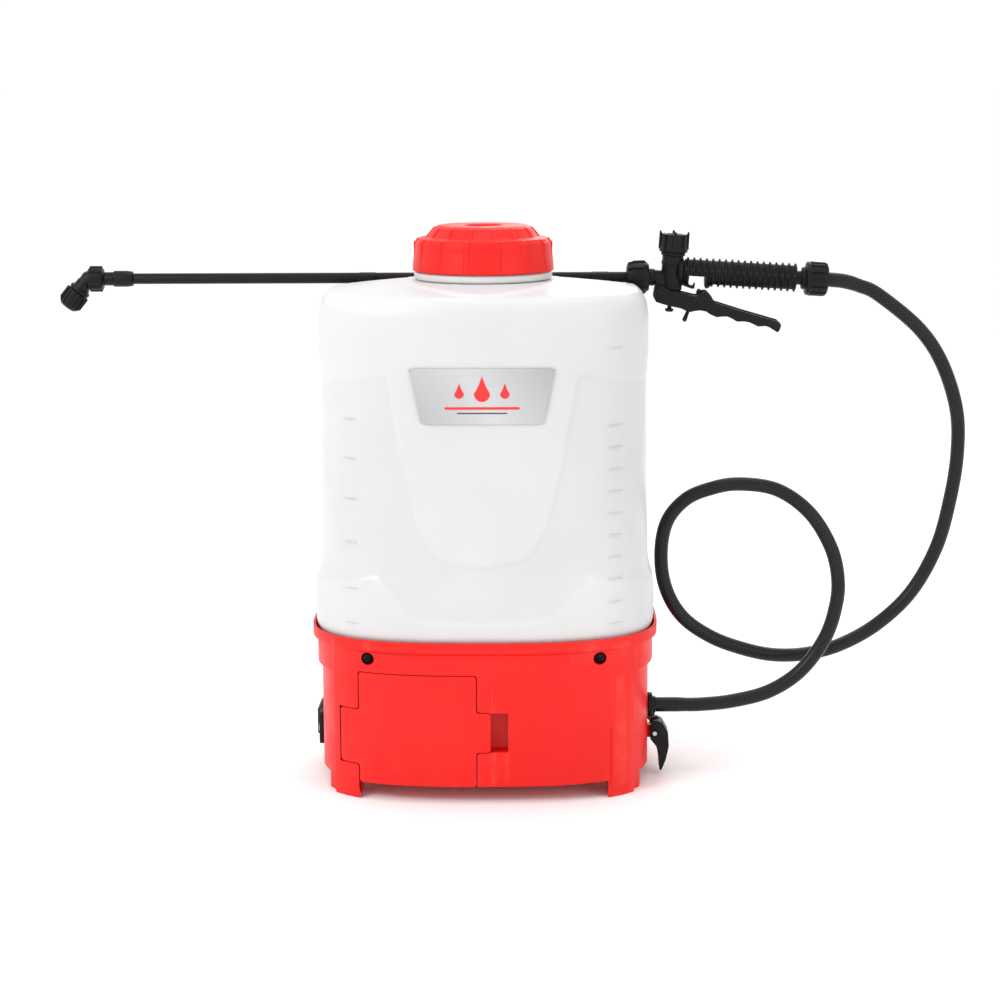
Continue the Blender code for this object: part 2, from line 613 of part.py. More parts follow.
# ------------------------------------------------------------------ lance and gun
def make_lance(frame):
    clip = [
        (-0.0090, -0.0070), (-0.0030, -0.0110), (0.0090, -0.0110), (0.0090, 0.0030), (0.0070, 0.0050),
        (0.0053, 0.0030), (0.0053, -0.0035), (0.0025, -0.0056), (-0.0025, -0.0056), (-0.0053, -0.0035),
        (-0.0053, 0.0030), (-0.0070, 0.0050), (-0.0090, 0.0030),
    ]
    outline = [(LANCE_Y + y, LANCE_Z + z) for y, z in clip]
    for side, x in (("left", -0.1180), ("right", 0.1000)):
        piece(f"lance_clip_{side}", slab(outline, x, x + 0.0160, "X"), "black_plastic", frame)
    along = (LANCE_LEFT, LANCE_Y, LANCE_Z)
    length = LANCE_RIGHT - LANCE_LEFT
    piece("lance_tube", tube(LANCE_R, 0.0035, 0.0, length, 16), "black_plastic", frame, along, ALONG_X)
    ferrule = [
        (0.0062, -0.0275), (0.0062, -0.0185), (0.0075, -0.0180), (0.0075, -GAP), (0.0030, -GAP),
        (0.0030, -0.0275),
    ]
    piece("lance_ferrule", turned(ferrule, 16, loop=True), "black_plastic", frame, along, ALONG_X)


def make_nozzle(frame):
    """The nozzle head: it turns about the lance, and its cap turns about the nozzle's own axis."""
    swivel = empty("elbow_swivel", frame, (ELBOW_X, LANCE_Y, LANCE_Z))
    nut = [
        (0.0100, 0.0, False), (0.0112, 0.0012, True), (0.0112, 0.0130, True), (0.0095, 0.0143, False),
        (0.0030, 0.0143, False), (0.0030, 0.0, False),
    ]
    swivel_nut = loft(ribbed(nut, 24, 2, 0.0007), loop=True)
    piece("elbow_nut", swivel_nut, "black_plastic", swivel, (-0.0001, 0.0, 0.0), ALONG_X)
    down = (0.0, -(math.pi / 2 + NOZZLE_TILT), 0.0)
    aim = empty("nozzle_aim", swivel, (0.0, 0.0, 0.0), down)  # +Z out of the nozzle
    outlet = [
        (0.0070, 0.0), (0.0070, 0.0118), (0.0100, 0.0122), (0.0100, 0.0150), (0.0060, 0.0152),
        (0.0060, 0.0190),
    ]
    elbow = piece("lance_elbow", turned(outlet, 20), "black_plastic", aim)
    turn_back = (0.0, math.pi / 2 + NOZZLE_TILT, 0.0)
    ball_r = 0.0072
    latitudes = [math.radians(degrees) for degrees in range(-80, 81, 32)]
    join(elbow, turned([(ball_r * math.cos(a), ball_r * math.sin(a)) for a in latitudes], 16))
    trim = block((0.0, -0.02, -0.02), (0.03, 0.02, 0.02))
    set_back = 0.0004
    carve(elbow, trim, (set_back * math.sin(NOZZLE_TILT), 0.0, set_back * math.cos(NOZZLE_TILT)), turn_back)
    cap = [
        (0.0105, 0.0156, False), (0.0110, 0.0170, True), (0.0110, 0.0290, True), (0.0098, 0.0318, False),
        (0.0060, 0.0330, False), (0.0030, 0.0330, False), (0.0030, 0.0300, False), (0.0066, 0.0290, False),
        (0.0066, 0.0156, False),
    ]
    piece("nozzle_cap", loft(ribbed(cap, 24, 2, 0.0006), loop=True), "black_plastic", aim)
    tip = [(0.0055, 0.0194), (0.0055, 0.0240), (0.0024, 0.0250), (0.0024, 0.0312)]
    piece("nozzle_tip", turned(tip, 12), "brass", aim)


def make_gun(frame):
    """The spray gun in its own space: u along it, w up, from the front nut's rear face on the lance axis."""
    gun = empty("gun_frame", frame, GUN_ORIGIN, (0.0, GUN_TILT, 0.0))
    on_grip = (0.0, 0.0, GRIP_W)
    core = rod(0.0065, VALVE_U - 0.004, 0.1590, 20)
    body = piece("gun_body", core, "black_plastic", gun, on_grip, ALONG_X)

    def local(u, v, w):
        """Body space has its own +Z along u and its +X down, as the body lies along the gun."""
        return (GRIP_W - w, v, u)

    upright = (0.0, -math.pi / 2, 0.0)
    join(body, rod(0.0098, -0.0112, 0.0212, 24), local(VALVE_U, 0.0, 0.0), upright)
    join(body, rod(0.0080, -0.0030, 0.0140, 20), local(0.0, 0.0, 0.0))
    lug = block((0.0060, -0.0070, -0.0160), (0.0180, 0.0070, -0.0020))
    join(body, lug, local(0.0, 0.0, 0.0), upright)
    pivot_boss = rod(0.0040, -LEVER_INNER + 0.0004, LEVER_INNER - 0.0004, 12)
    join(body, pivot_boss, local(LEVER_U, 0.0, LEVER_W), TOWARDS_FRONT)
    window = (0.0034, -0.0200, 0.0365), (0.0300, 0.0200, 0.0517)  # room beneath the grip for the lock
    carve(body, block(*window))
    hook = [
        (0.0262, 0.0020), (0.0358, 0.0060), (0.0366, -0.0015), (0.0372, -0.0045), (0.0397, -0.0055),
        (0.0412, -0.0048), (0.0418, -0.0027), (0.0429, -0.0027), (0.0426, -0.0081), (0.0400, -0.0085),
        (0.0359, -0.0072), (0.0257, -0.0040),
    ]
    join(body, slab(hook, -0.0025, 0.0025, "Y"), local(0.0, 0.0, 0.0), upright)
    gusset = [
        (0.0517, 0.0060), (0.0517, -0.0050), (0.0530, -0.0078), (0.0560, -0.0065), (0.0604, -0.0016),
        (0.0625, 0.0060),
    ]
    join(body, slab(gusset, -0.0025, 0.0025, "Y"), local(0.0, 0.0, 0.0), upright)
    carve(body, rod(0.0024, -0.0300, 0.0400, 12), local(VALVE_U, 0.0, 0.0), upright)
    carve(body, rod(0.0018, -0.0200, 0.0200, 12), local(LEVER_U, 0.0, LEVER_W), TOWARDS_FRONT)
    carve(body, rod(0.0053, -0.0100, -0.0001, 16), local(0.0, 0.0, 0.0))

    nut = [
        (0.0128, -0.0214, True), (0.0150, -0.0190, True), (0.0155, -0.0040, True), (0.0130, -0.0006, False),
        (0.0083, -0.0006, False), (0.0083, -0.0040, False), (0.0054, -0.0040, False),
        (0.0054, -0.0214, False),
    ]
    front_nut = loft(ribbed(nut, 24, 2, 0.0007), loop=True)
    piece("gun_front_nut", front_nut, "black_plastic", frame, GUN_ORIGIN, ALONG_X)
    seal = tube(0.0112, 0.0060, 0.0215, 0.0244, 16)
    piece("valve_seal_ring", seal, "seal_rubber", gun, (VALVE_U, 0.0, 0.0))
    cap = [
        (0.0122, 0.0247, False), (0.0135, 0.0262, True), (0.0135, 0.0415, True), (0.0110, 0.0440, False),
        (0.0075, 0.0440, False), (0.0075, 0.0422, False), (0.0020, 0.0422, False),
    ]
    cap_in = [(0.0020, 0.0395), (0.0080, 0.0395), (0.0080, 0.0247)]
    rings = ribbed(cap, 24, 2, 0.0009) + [circle(r, z, 24) for r, z in cap_in]
    piece("valve_cap", loft(rings, loop=True), "black_plastic", gun, (VALVE_U, 0.0, 0.0))
    stem = [
        (0.0030, -0.0312), (0.0040, -0.0302), (0.0040, -0.0284), (0.0020, -0.0280), (0.0020, -0.0224),
        (0.0050, -0.0222), (0.0050, -0.0204), (0.0020, -0.0202), (0.0020, 0.0262), (0.0050, 0.0264),
        (0.0050, 0.0276), (0.0016, 0.0278), (0.0016, 0.0300),
    ]
    piece("valve_stem", turned(stem, 10), "black_plastic", gun, (VALVE_U, 0.0, 0.0))
    helix = []
    turns, per_turn = 4, 8
    for i in range(turns * per_turn + 1):
        turn = 2 * math.pi * i / per_turn
        height = 0.0290 + 0.0095 * i / (turns * per_turn)
        helix.append(Vector((VALVE_U + 0.0042 * math.cos(turn), 0.0042 * math.sin(turn), height)))
    flexible("valve_spring", helix, 0.0006, "steel", gun, 0.0036, 1)

    grip = []
    ribs, pitch, start = 18, 0.00591, 0.0320
    for i in range(ribs):
        at = start + pitch * i
        grip += [(0.0118, at), (0.0132, at + 0.0026)]
    end = start + pitch * ribs - 0.0020
    grip += [(0.0118, end), (0.0069, end), (0.0069, start)]
    sleeve = piece("grip_sleeve", turned(grip, 14, loop=True), "grip_rubber", gun, on_grip, ALONG_X)
    carve(sleeve, block(*window))
    carve(sleeve, block((0.0, -0.0029, 0.0300), (0.0200, 0.0029, 0.0640)))
    collar = [
        (0.0072, 0.1415, False), (0.0095, 0.1420, False), (0.0095, 0.1448, False), (0.0150, 0.1460, False),
        (0.0158, 0.1475, False), (0.0158, 0.1560, True), (0.0152, 0.1636, True), (0.0110, 0.1664, False),
        (0.0072, 0.1664, False),
    ]
    hose_nut = loft(ribbed(collar, 24, 2, 0.0006), loop=True)
    piece("hose_nut", hose_nut, "black_plastic", gun, on_grip, ALONG_X)
    return gun


def make_lever(gun):
    """The trigger lever: a channel whose sides straddle the gun, on a pin through the valve block."""
    upper = [
        (0.0060, -0.0125), (0.0080, -0.0080), (0.0117, -0.0068), (0.0155, -0.0082), (0.0185, -0.0105),
        (0.0261, -0.0111), (0.0442, -0.0144), (0.0470, -0.0130), (0.0505, -0.0100), (0.0540, -0.0096),
        (0.0575, -0.0125), (0.0618, -0.0191), (0.0900, -0.0262), (0.1233, -0.0337),
    ]
    lower = [
        (0.1252, -0.0365), (0.1238, -0.0417), (0.1220, -0.0435), (0.1144, -0.0392), (0.1104, -0.0381),
        (0.1038, -0.0390), (0.0957, -0.0357), (0.0904, -0.0350), (0.0838, -0.0356), (0.0783, -0.0328),
        (0.0743, -0.0314), (0.0703, -0.0317), (0.0645, -0.0326), (0.0584, -0.0304), (0.0543, -0.0279),
        (0.0489, -0.0272), (0.0443, -0.0279), (0.0385, -0.0296), (0.0304, -0.0263), (0.0237, -0.0254),
        (0.0157, -0.0239), (0.0070, -0.0218), (0.0050, -0.0180),
    ]
    pivot = empty("lever_pivot", gun, (LEVER_U, 0.0, LEVER_W))
    at = (-LEVER_U, 0.0, -LEVER_W)
    lever_bar = slab(upper + lower, -LEVER_OUTER, LEVER_OUTER, "Y")
    lever = piece("trigger_lever", lever_bar, "black_plastic", pivot, at)
    inside = [
        (0.0000, -0.0205), (0.0232, -0.0234), (0.0304, -0.0240), (0.0385, -0.0268), (0.0443, -0.0252),
        (0.0543, -0.0252), (0.0584, -0.0274), (0.0645, -0.0300), (0.0743, -0.0288), (0.0783, -0.0300),
        (0.0838, -0.0330), (0.0957, -0.0330), (0.1038, -0.0364), (0.1104, -0.0354), (0.1190, -0.0385),
        (0.1225, -0.0385), (0.1225, 0.0100), (0.0000, 0.0100),
    ]
    carve(lever, slab(inside, -LEVER_INNER, LEVER_INNER, "Y"))
    carve(lever, rod(0.0018, -0.03, 0.03, 10), (LEVER_U, 0.0, LEVER_W), TOWARDS_FRONT)
    carve(lever, rod(0.0013, -0.03, 0.03, 12), (PAWL_U, 0.0, PAWL_W), TOWARDS_FRONT)
    carve(lever, block((VALVE_U - 0.0056, -0.0030, -0.0400), (VALVE_U + 0.0032, 0.0030, -0.0150)))
    carve(lever, block((0.0300, -0.0030, -0.0400), (0.0450, 0.0030, -0.0220)))
    piece("lever_pin", rod(0.0015, -0.0150, 0.0150, 12), "black_plastic", pivot, turn=TOWARDS_FRONT)
    pawl_pivot = empty("pawl_pivot", pivot, (PAWL_U - LEVER_U, 0.0, PAWL_W - LEVER_W))
    outline = [
        (0.0488, -0.0086), (0.0460, -0.0081), (0.0446, -0.0112), (0.0452, -0.0135), (0.0415, -0.0185),
        (0.0370, -0.0290), (0.0335, -0.0380), (0.0350, -0.0400), (0.0375, -0.0390), (0.0400, -0.0290),
        (0.0452, -0.0190), (0.0476, -0.0130),
    ]
    plate = slab(outline, -0.0015, 0.0015, "Y")
    pawl = piece("lock_pawl", plate, "black_plastic", pawl_pivot, (-PAWL_U, 0.0, -PAWL_W))
    carve(pawl, rod(0.0013, -0.03, 0.03, 12), (PAWL_U, 0.0, PAWL_W), TOWARDS_FRONT)
    pin = rod(0.0010, -0.0142, 0.0142, 12)
    piece("pawl_pin", pin, "black_plastic", pawl_pivot, turn=TOWARDS_FRONT)


# ------------------------------------------------------------------ hose and harness
HOSE_ROUTE_MM = [
    (320.9, 75, 454.2), (336, 75, 452.6), (351, 75, 448), (368, 75, 440), (406, 75, 409), (429, 75, 376),
    (444, 75, 332), (446, 74, 290), (440, 72, 246), (428, 70, 200), (405, 69, 157), (373, 67, 126),
    (338, 63, 107), (305, 59, 99), (273, 55, 99), (243, 52, 106), (213, 50, 118), (186, 47, 138),
    (170, 45, 166),
    (165, 42, 199), (170, 38, 231), (187, 34, 253), (210, 30, 264), (236, 26, 269), (271, 23, 264),
    (301, 19, 243), (321, 16, 211), (328, 14, 181), (326, 12, 155), (316, 10, 125), (294, 8, 95),
    (265, 6, 76), (231, 5, 67), (200, 4, 64), (178, 4, 64), (158.9, 4, 64),
]


def make_hose(frame):
    route = [(x / 1000, y / 1000, z / 1000) for x, y, z in HOSE_ROUTE_MM]
    flexible("spray_hose", route, HOSE_R, "hose_rubber", frame)


def make_harness(frame):
    rear = TANK_HALF - PLAN_DEPTH_LESS
    cushion = block((-0.0800, rear + 0.0026, 0.2150), (0.0800, rear + 0.0176, 0.3900))
    soften(piece("back_pad", cushion, "strap_fabric", frame), 0.006)
    bar = slab(
        rounded([(-0.0850, 0.4020), (0.0850, 0.4020), (0.0850, 0.4280), (-0.0850, 0.4280)], 0.006),
        rear + 0.0008, rear + 0.0110, "Y",
    )
    piece("strap_bracket", bar, "black_plastic", frame)
    for side, name in ((-1, "left"), (1, "right")):
        strap = [
            (side * 0.052, 0.1120, 0.4260), (side * 0.053, 0.1240, 0.4020), (side * 0.056, 0.1400, 0.3600),
            (side * 0.062, 0.1520, 0.3000), (side * 0.068, 0.1560, 0.2400), (side * 0.073, 0.1500, 0.1800),
            (side * 0.077, 0.1340, 0.1200), (side * 0.079, 0.1180, 0.0840), (side * 0.080, 0.1110, 0.0640),
        ]
        piece(f"shoulder_strap_{name}", ribbon(strap, 0.050, 0.009, (1, 0, 0)), "strap_fabric", frame)
        buckle = block((side * 0.080 - 0.0170, 0.1065, 0.0280), (side * 0.080 + 0.0170, 0.1125, 0.0590))
        piece(f"strap_buckle_{name}", buckle, "black_plastic", frame)
        round_base = plan(WEBBING_HALF, 0.0430)
        wrap = [point for point in round_base if point.x * side > 0.090 and point.y > 0.0240]
        wrap.sort(key=lambda point: math.atan2(point.y, point.x * side))
        wrap.append(Vector((side * 0.0640, round_base[PLAN_POINTS // 4].y, 0.0430)))
        piece(f"lower_webbing_{name}", ribbon(wrap, 0.0240, 0.0018, (0, 0, 1), 0.012), "webbing", frame)


def make_strap_hooks(frame):
    profile = [
        (0.1530, 0.0440), (0.1560, 0.0505), (0.1600, 0.0515), (0.1650, 0.0490), (0.1700, 0.0400),
        (0.1708, 0.0270), (0.1680, 0.0140), (0.1640, 0.0042), (0.1622, 0.0045), (0.1616, 0.0160),
        (0.1590, 0.0270), (0.1535, 0.0340),
    ]
    right = piece("strap_hook_right", slab(profile, -0.0092, 0.0132, "Y"), "black_plastic", frame)
    carve(right, block((0.1400, -0.0024, 0.0), (0.1616, 0.0064, 0.0600)))
    carve(right, rod(0.0024, -0.04, 0.04, 16), (PIN_X, 0.0, PIN_Z), TOWARDS_REAR)
    pin_at = (PIN_X, 0.0, PIN_Z)
    piece("hook_pin_right", rod(0.0020, -0.0120, 0.0160, 12), "steel", frame, pin_at, TOWARDS_REAR)

    plate = rounded([(0.0040, 0.0260), (0.0220, 0.0260), (0.0220, 0.0560), (0.0040, 0.0560)], 0.003)
    left = piece("strap_hook_left", slab(plate, -0.1560, -0.1516, "X"), "black_plastic", frame)
    carve(left, rod(0.0024, -0.1700, -0.1400, 16), (0.0, LEFT_PIN_Y, PIN_Z), ALONG_X)
    rivet = [(0.0035, -0.1571), (0.0035, -0.1563), (0.0020, -0.1562), (0.0020, -0.1465)]
    piece("hook_pin_left", turned(rivet, 12), "steel", frame, (0.0, LEFT_PIN_Y, PIN_Z), ALONG_X)


def main():
    clear_scene()
    frame = empty("sprayer", None, ORIGIN_SHIFT)
    make_tank(frame)
    make_cap(frame)
    make_strainer(frame)
    make_label(frame)
    make_base(frame)
    make_tray(frame)
    door_hinge = empty("door_hinge", frame, (HINGE_X, HINGE_Y, 0.0))
    make_door(door_hinge)
    make_base_fittings(frame)
    make_pump(frame)
    make_electrics(frame)
    make_lance(frame)
    make_nozzle(frame)
    make_lever(make_gun(frame))
    make_hose(frame)
    make_harness(frame)
    make_strap_hooks(frame)


main()
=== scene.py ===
"""Looks of the battery knapsack sprayer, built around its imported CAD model.

Pieces are laid out from the tank's axis, as the CAD is, and FRAME moves them to the record's origin.
Front faces -Y, metres, +Z up."""

import json
import math

import bmesh
import bpy
import numpy as np
from mathutils import Matrix, Vector, noise


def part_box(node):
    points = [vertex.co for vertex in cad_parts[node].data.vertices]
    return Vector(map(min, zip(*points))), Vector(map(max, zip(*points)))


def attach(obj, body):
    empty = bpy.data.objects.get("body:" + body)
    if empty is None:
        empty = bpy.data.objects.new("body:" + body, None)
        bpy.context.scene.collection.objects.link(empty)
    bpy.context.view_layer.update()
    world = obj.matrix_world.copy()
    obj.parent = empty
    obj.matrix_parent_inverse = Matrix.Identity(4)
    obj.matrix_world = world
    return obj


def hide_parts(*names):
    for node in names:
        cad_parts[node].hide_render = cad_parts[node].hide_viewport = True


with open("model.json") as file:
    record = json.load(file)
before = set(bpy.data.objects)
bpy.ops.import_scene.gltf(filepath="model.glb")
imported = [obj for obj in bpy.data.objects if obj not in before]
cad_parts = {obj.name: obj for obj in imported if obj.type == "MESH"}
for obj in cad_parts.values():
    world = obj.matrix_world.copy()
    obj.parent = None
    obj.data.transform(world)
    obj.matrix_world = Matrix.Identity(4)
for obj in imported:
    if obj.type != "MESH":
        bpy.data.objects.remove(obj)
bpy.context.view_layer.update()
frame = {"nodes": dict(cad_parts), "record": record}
TURN = 2 * math.pi

# ------------------------------------------------------------------ driving dimensions, as in the CAD
ORIGIN_SHIFT = (0.0375, -0.0285, 0.0)  # tank axis, seen from the record's origin
WAIST_Y = 0.009
PLAN_DEPTH_LESS = 0.0555
FRONT_POWER, REAR_POWER = 2.8, 6.0
WALL = 0.0028
RIM_HALF, BAND_HALF, BASE_SIDE_HALF = 0.1590, 0.1550, 0.1510
RIDGE_X = 0.1360
RIM_TOP, RIM_LOW, BAND_LOW = 0.1480, 0.1370, 0.1110
SKIRT_LOW, FOOT_X, FOOT_FRONT_Y, FOOT_REAR_Y = 0.0152, 0.1120, -0.0450, 0.0620
TANK_FLOOR, TANK_WALL = 0.1390, 0.0025
TANK_HALF, SHOULDER_Z, SHOULDER_HALF = 0.1497, 0.4530, 0.1390
NECK_FOOT_Z, NECK_TOP_Z, NECK_R = 0.4625, 0.4940, 0.0590
LEDGE_Y, LEDGE_DROP = 0.0655, 0.0110
DOOR_LEFT, DOOR_RIGHT, DOOR_TOP = -0.1126, -0.0067, 0.1170
HINGE_TAB, LATCH_TAB, RECESS_RIGHT = (-0.1300, 0.0320, 0.0820), (0.0060, 0.0470, 0.0830), 0.0220
HINGE_X, HINGE_Y, DOOR_GAP = -0.1262, -0.0680, 0.0008
CAP_LOW, CAP_TOP, CAP_RIBS = 0.4705, 0.5110, 14
LANCE_Y, LANCE_Z, LANCE_LEFT, LANCE_RIGHT = 0.0750, 0.4571, -0.3290, 0.1500
ELBOW_X, NOZZLE_TILT = -0.3713, math.radians(51.2)
GUN_X, GUN_TILT, GRIP_W, VALVE_U = 0.1540, math.radians(3.6), 0.0075, 0.0207
LEVER_U, LEVER_W, PAWL_U, PAWL_W = 0.0117, -0.0126, 0.0430, -0.0200
LEVER_INNER, LEVER_OUTER = 0.0110, 0.0135
GRIP_WINDOW = (0.0034, -0.0200, 0.0365), (0.0300, 0.0200, 0.0517)  # in the grip's own space
HOSE_R, OUTLET_Y, OUTLET_Z = 0.0065, 0.0040, 0.0640
SCREW_X, SCREW_Z = 0.1040, 0.1300  # the two front screws
PIN_X, PIN_Z = 0.1575, 0.0400  # the right strap hook's pin lies along Y at this x
LEFT_PIN_Y = 0.0130  # the left hook's pin lies along X
WEBBING_HALF = 0.1582  # plan that the lower webbing follows round the base
LABEL_HALF_TOP, LABEL_HALF_LOW, LABEL_LOW, LABEL_HIGH = 0.0638, 0.0538, 0.3430, 0.3920

# places: +Z of each one runs along the piece it is for
HERE = Matrix.Identity(4)
shift = Matrix.Translation
FRAME = shift(ORIGIN_SHIFT)
ALONG_X = Matrix.Rotation(math.pi / 2, 4, "Y")
TO_FRONT = Matrix.Rotation(math.pi / 2, 4, "X")
TO_REAR = Matrix.Rotation(-math.pi / 2, 4, "X")
GUN = FRAME @ shift((GUN_X, LANCE_Y, LANCE_Z)) @ Matrix.Rotation(GUN_TILT, 4, "Y")
GRIP = GUN @ shift((0.0, 0.0, GRIP_W)) @ ALONG_X
VALVE = GUN @ shift((VALVE_U, 0.0, 0.0))
LANCE = FRAME @ shift((LANCE_LEFT, LANCE_Y, LANCE_Z)) @ ALONG_X
FRONT_NUT = FRAME @ shift((GUN_X, LANCE_Y, LANCE_Z)) @ ALONG_X
SWIVEL = FRAME @ shift((ELBOW_X, LANCE_Y, LANCE_Z))
NOZZLE = SWIVEL @ Matrix.Rotation(-(math.pi / 2 + NOZZLE_TILT), 4, "Y")


# ------------------------------------------------------------------ camera, light and floor
def make_camera():
    data = bpy.data.cameras.new("camera")
    data.sensor_width, data.lens = 36.0, 87.48
    camera = bpy.data.objects.new("camera", data)
    bpy.context.collection.objects.link(camera)
    place, target = Vector((0.0759, -2.2282, 0.6520)), Vector((0.0518, -0.0285, 0.2590))
    camera.location = place
    lean = Matrix.Rotation(math.radians(-0.25), 4, "Z")
    aim = (target - place).to_track_quat("-Z", "Y").to_matrix().to_4x4()
    camera.rotation_euler = (aim @ lean).to_euler()
    bpy.context.scene.camera = camera


def area_light(name, place, target, size, power):
    data = bpy.data.lights.new(name, "AREA")
    data.shape, data.size, data.energy = "SQUARE", size, power
    light = bpy.data.objects.new(name, data)
    bpy.context.collection.objects.link(light)
    light.location = place
    light.rotation_euler = (Vector(target) - Vector(place)).to_track_quat("-Z", "Y").to_euler()


def make_studio():
    world = bpy.data.worlds.new("studio")
    bpy.context.scene.world = world
    world.use_nodes = True
    background = world.node_tree.nodes["Background"]
    background.inputs["Color"].default_value = (1.0, 1.0, 1.0, 1.0)
    background.inputs["Strength"].default_value = 1.05
    bpy.context.scene.view_settings.view_transform = "Standard"
    middle = (0.04, 0.0, 0.25)
    area_light("key", (-1.5, -1.5, 1.7), middle, 0.9, 24.0)
    area_light("fill", (1.6, -1.5, 0.8), middle, 1.2, 5.0)
    area_light("top", (0.1, 0.2, 2.1), middle, 1.2, 7.0)
    area_light("rim", (0.5, 1.9, 1.3), middle, 1.0, 8.0)
    bm = bmesh.new()
    bmesh.ops.create_grid(bm, x_segments=1, y_segments=1, size=60.0)
    mesh = bpy.data.meshes.new("floor")
    bm.to_mesh(mesh)
    bm.free()
    floor = bpy.data.objects.new("floor", mesh)
    bpy.context.collection.objects.link(floor)
    floor.location.z = -0.0005
    pale = bpy.data.materials.new("floor")
    pale.use_nodes = True
    shader = pale.node_tree.nodes["Principled BSDF"]
    shader.inputs["Base Color"].default_value = (0.97, 0.97, 0.97, 1.0)
    shader.inputs["Roughness"].default_value = 0.8
    mesh.materials.append(pale)


# ------------------------------------------------------------------ materials
class Finish:
    """A material's node tree, with short ways to add what the finishes share."""

    def __init__(self, name, roughness, metallic=0.0, **sockets):
        self.material = bpy.data.materials.new(name)
        self.material.use_nodes = True
        self.tree = self.material.node_tree
        self.shader = self.tree.nodes["Principled BSDF"]
        self.shader.inputs["Roughness"].default_value = roughness
        self.shader.inputs["Metallic"].default_value = metallic
        for socket, value in sockets.items():
            self.shader.inputs[socket.replace("_", " ")].default_value = value
        self.place = self.add("ShaderNodeTexCoord").outputs["Object"]

    def add(self, kind, **settings):
        node = self.tree.nodes.new(kind)
        for name, value in settings.items():
            setattr(node, name, value)
        return node

    def wire(self, source, socket):
        self.tree.links.new(source, socket)

    def stretched(self, scale):
        node = self.add("ShaderNodeMapping")
        node.inputs["Scale"].default_value = scale
        self.wire(self.place, node.inputs["Vector"])
        return node.outputs["Vector"]

    def noise(self, scale, detail=3.0, stretch=None):
        node = self.add("ShaderNodeTexNoise")
        node.inputs["Scale"].default_value = scale
        node.inputs["Detail"].default_value = detail
        self.wire(self.stretched(stretch) if stretch else self.place, node.inputs["Vector"])
        return node.outputs["Fac"]

    def spread(self, value, low, high, start=0.3, end=0.7):
        node = self.add("ShaderNodeMapRange")
        self.wire(value, node.inputs["Value"])
        for name, number in (("From Min", start), ("From Max", end), ("To Min", low), ("To Max", high)):
            node.inputs[name].default_value = number
        return node.outputs["Result"]

    def math(self, operation, a, b=0.0):
        node = self.add("ShaderNodeMath", operation=operation)
        for socket, value in zip(node.inputs, (a, b)):
            if isinstance(value, (int, float)):
                socket.default_value = value
            else:
                self.wire(value, socket)
        return node.outputs["Value"]

    def mix(self, factor, a, b):
        node = self.add("ShaderNodeMix", data_type="RGBA")
        self.wire(factor, node.inputs["Factor"])
        for socket, value in ((node.inputs[6], a), (node.inputs[7], b)):
            if isinstance(value, tuple):
                socket.default_value = (*value, 1.0)
            else:
                self.wire(value, socket)
        return node.outputs[2]

    def axis(self, name, vector=None):
        node = self.add("ShaderNodeSeparateXYZ")
        self.wire(vector or self.place, node.inputs["Vector"])
        return node.outputs[name]

    def ripple(self, coordinate, period):
        return self.math("SINE", self.math("MULTIPLY", coordinate, TURN / period))

    def pointed(self, start, end):
        """1 along proud edges, where handling wears them, and where the grip's rib crests get a painted
        highlight.
        """
        return self.spread(self.add("ShaderNodeNewGeometry").outputs["Pointiness"], 0.0, 1.0, start, end)

    def colour(self, source):
        self.wire(source, self.shader.inputs["Base Color"])

    def rough(self, source):
        self.wire(source, self.shader.inputs["Roughness"])

    def bump(self, height, strength, distance):
        node = self.add("ShaderNodeBump")
        node.inputs["Strength"].default_value = strength
        node.inputs["Distance"].default_value = distance
        self.wire(height, node.inputs["Height"])
        self.wire(node.outputs["Normal"], self.shader.inputs["Normal"])


def shade(colour, factor):
    return tuple(min(1.0, channel * factor) for channel in colour)


def moulded(name, colour, roughness, grain=900.0, relief=0.00012, wear=0.35, worn=None, **sockets):
    """Injection-moulded plastic: faint flow marks, a fine spark-eroded grain and rubbed edges."""
    finish = Finish(name, roughness, **sockets)
    flow = finish.noise(7.0, 2.0, (1.0, 1.0, 0.35))
    body = finish.mix(finish.spread(flow, 0.0, 1.0), shade(colour, 0.93), shade(colour, 1.05))
    rubbed = finish.math("MULTIPLY", finish.pointed(0.53, 0.60), finish.spread(finish.noise(55.0), 0.0, wear))
    finish.colour(finish.mix(rubbed, body, worn or shade(colour, 1.8)))
    smudge = finish.noise(38.0, 4.0)
    finish.rough(finish.spread(smudge, roughness - 0.05, roughness + 0.09))
    finish.bump(finish.noise(grain, 2.0), 0.35, relief)
    return finish.material


def tank_finish():
    """Blow-moulded natural polyethylene: milky and slightly cloudy, in lighter and darker patches at random.
    """
    finish = Finish("tank_plastic", 0.36, Subsurface_Weight=0.35, Subsurface_Scale=0.012)
    finish.shader.inputs["Subsurface Radius"].default_value = (1.0, 1.0, 1.0)
    cloud = finish.spread(finish.noise(6.5, 3.0, (1.0, 1.0, 0.6)), 0.0, 1.0)
    finish.colour(finish.mix(cloud, (0.575, 0.58, 0.583), (0.645, 0.645, 0.645)))
    finish.rough(finish.spread(finish.noise(24.0, 4.0), 0.31, 0.45))
    orange_peel = finish.noise(260.0, 2.0)
    finish.bump(orange_peel, 0.22, 0.00025)
    return finish.material


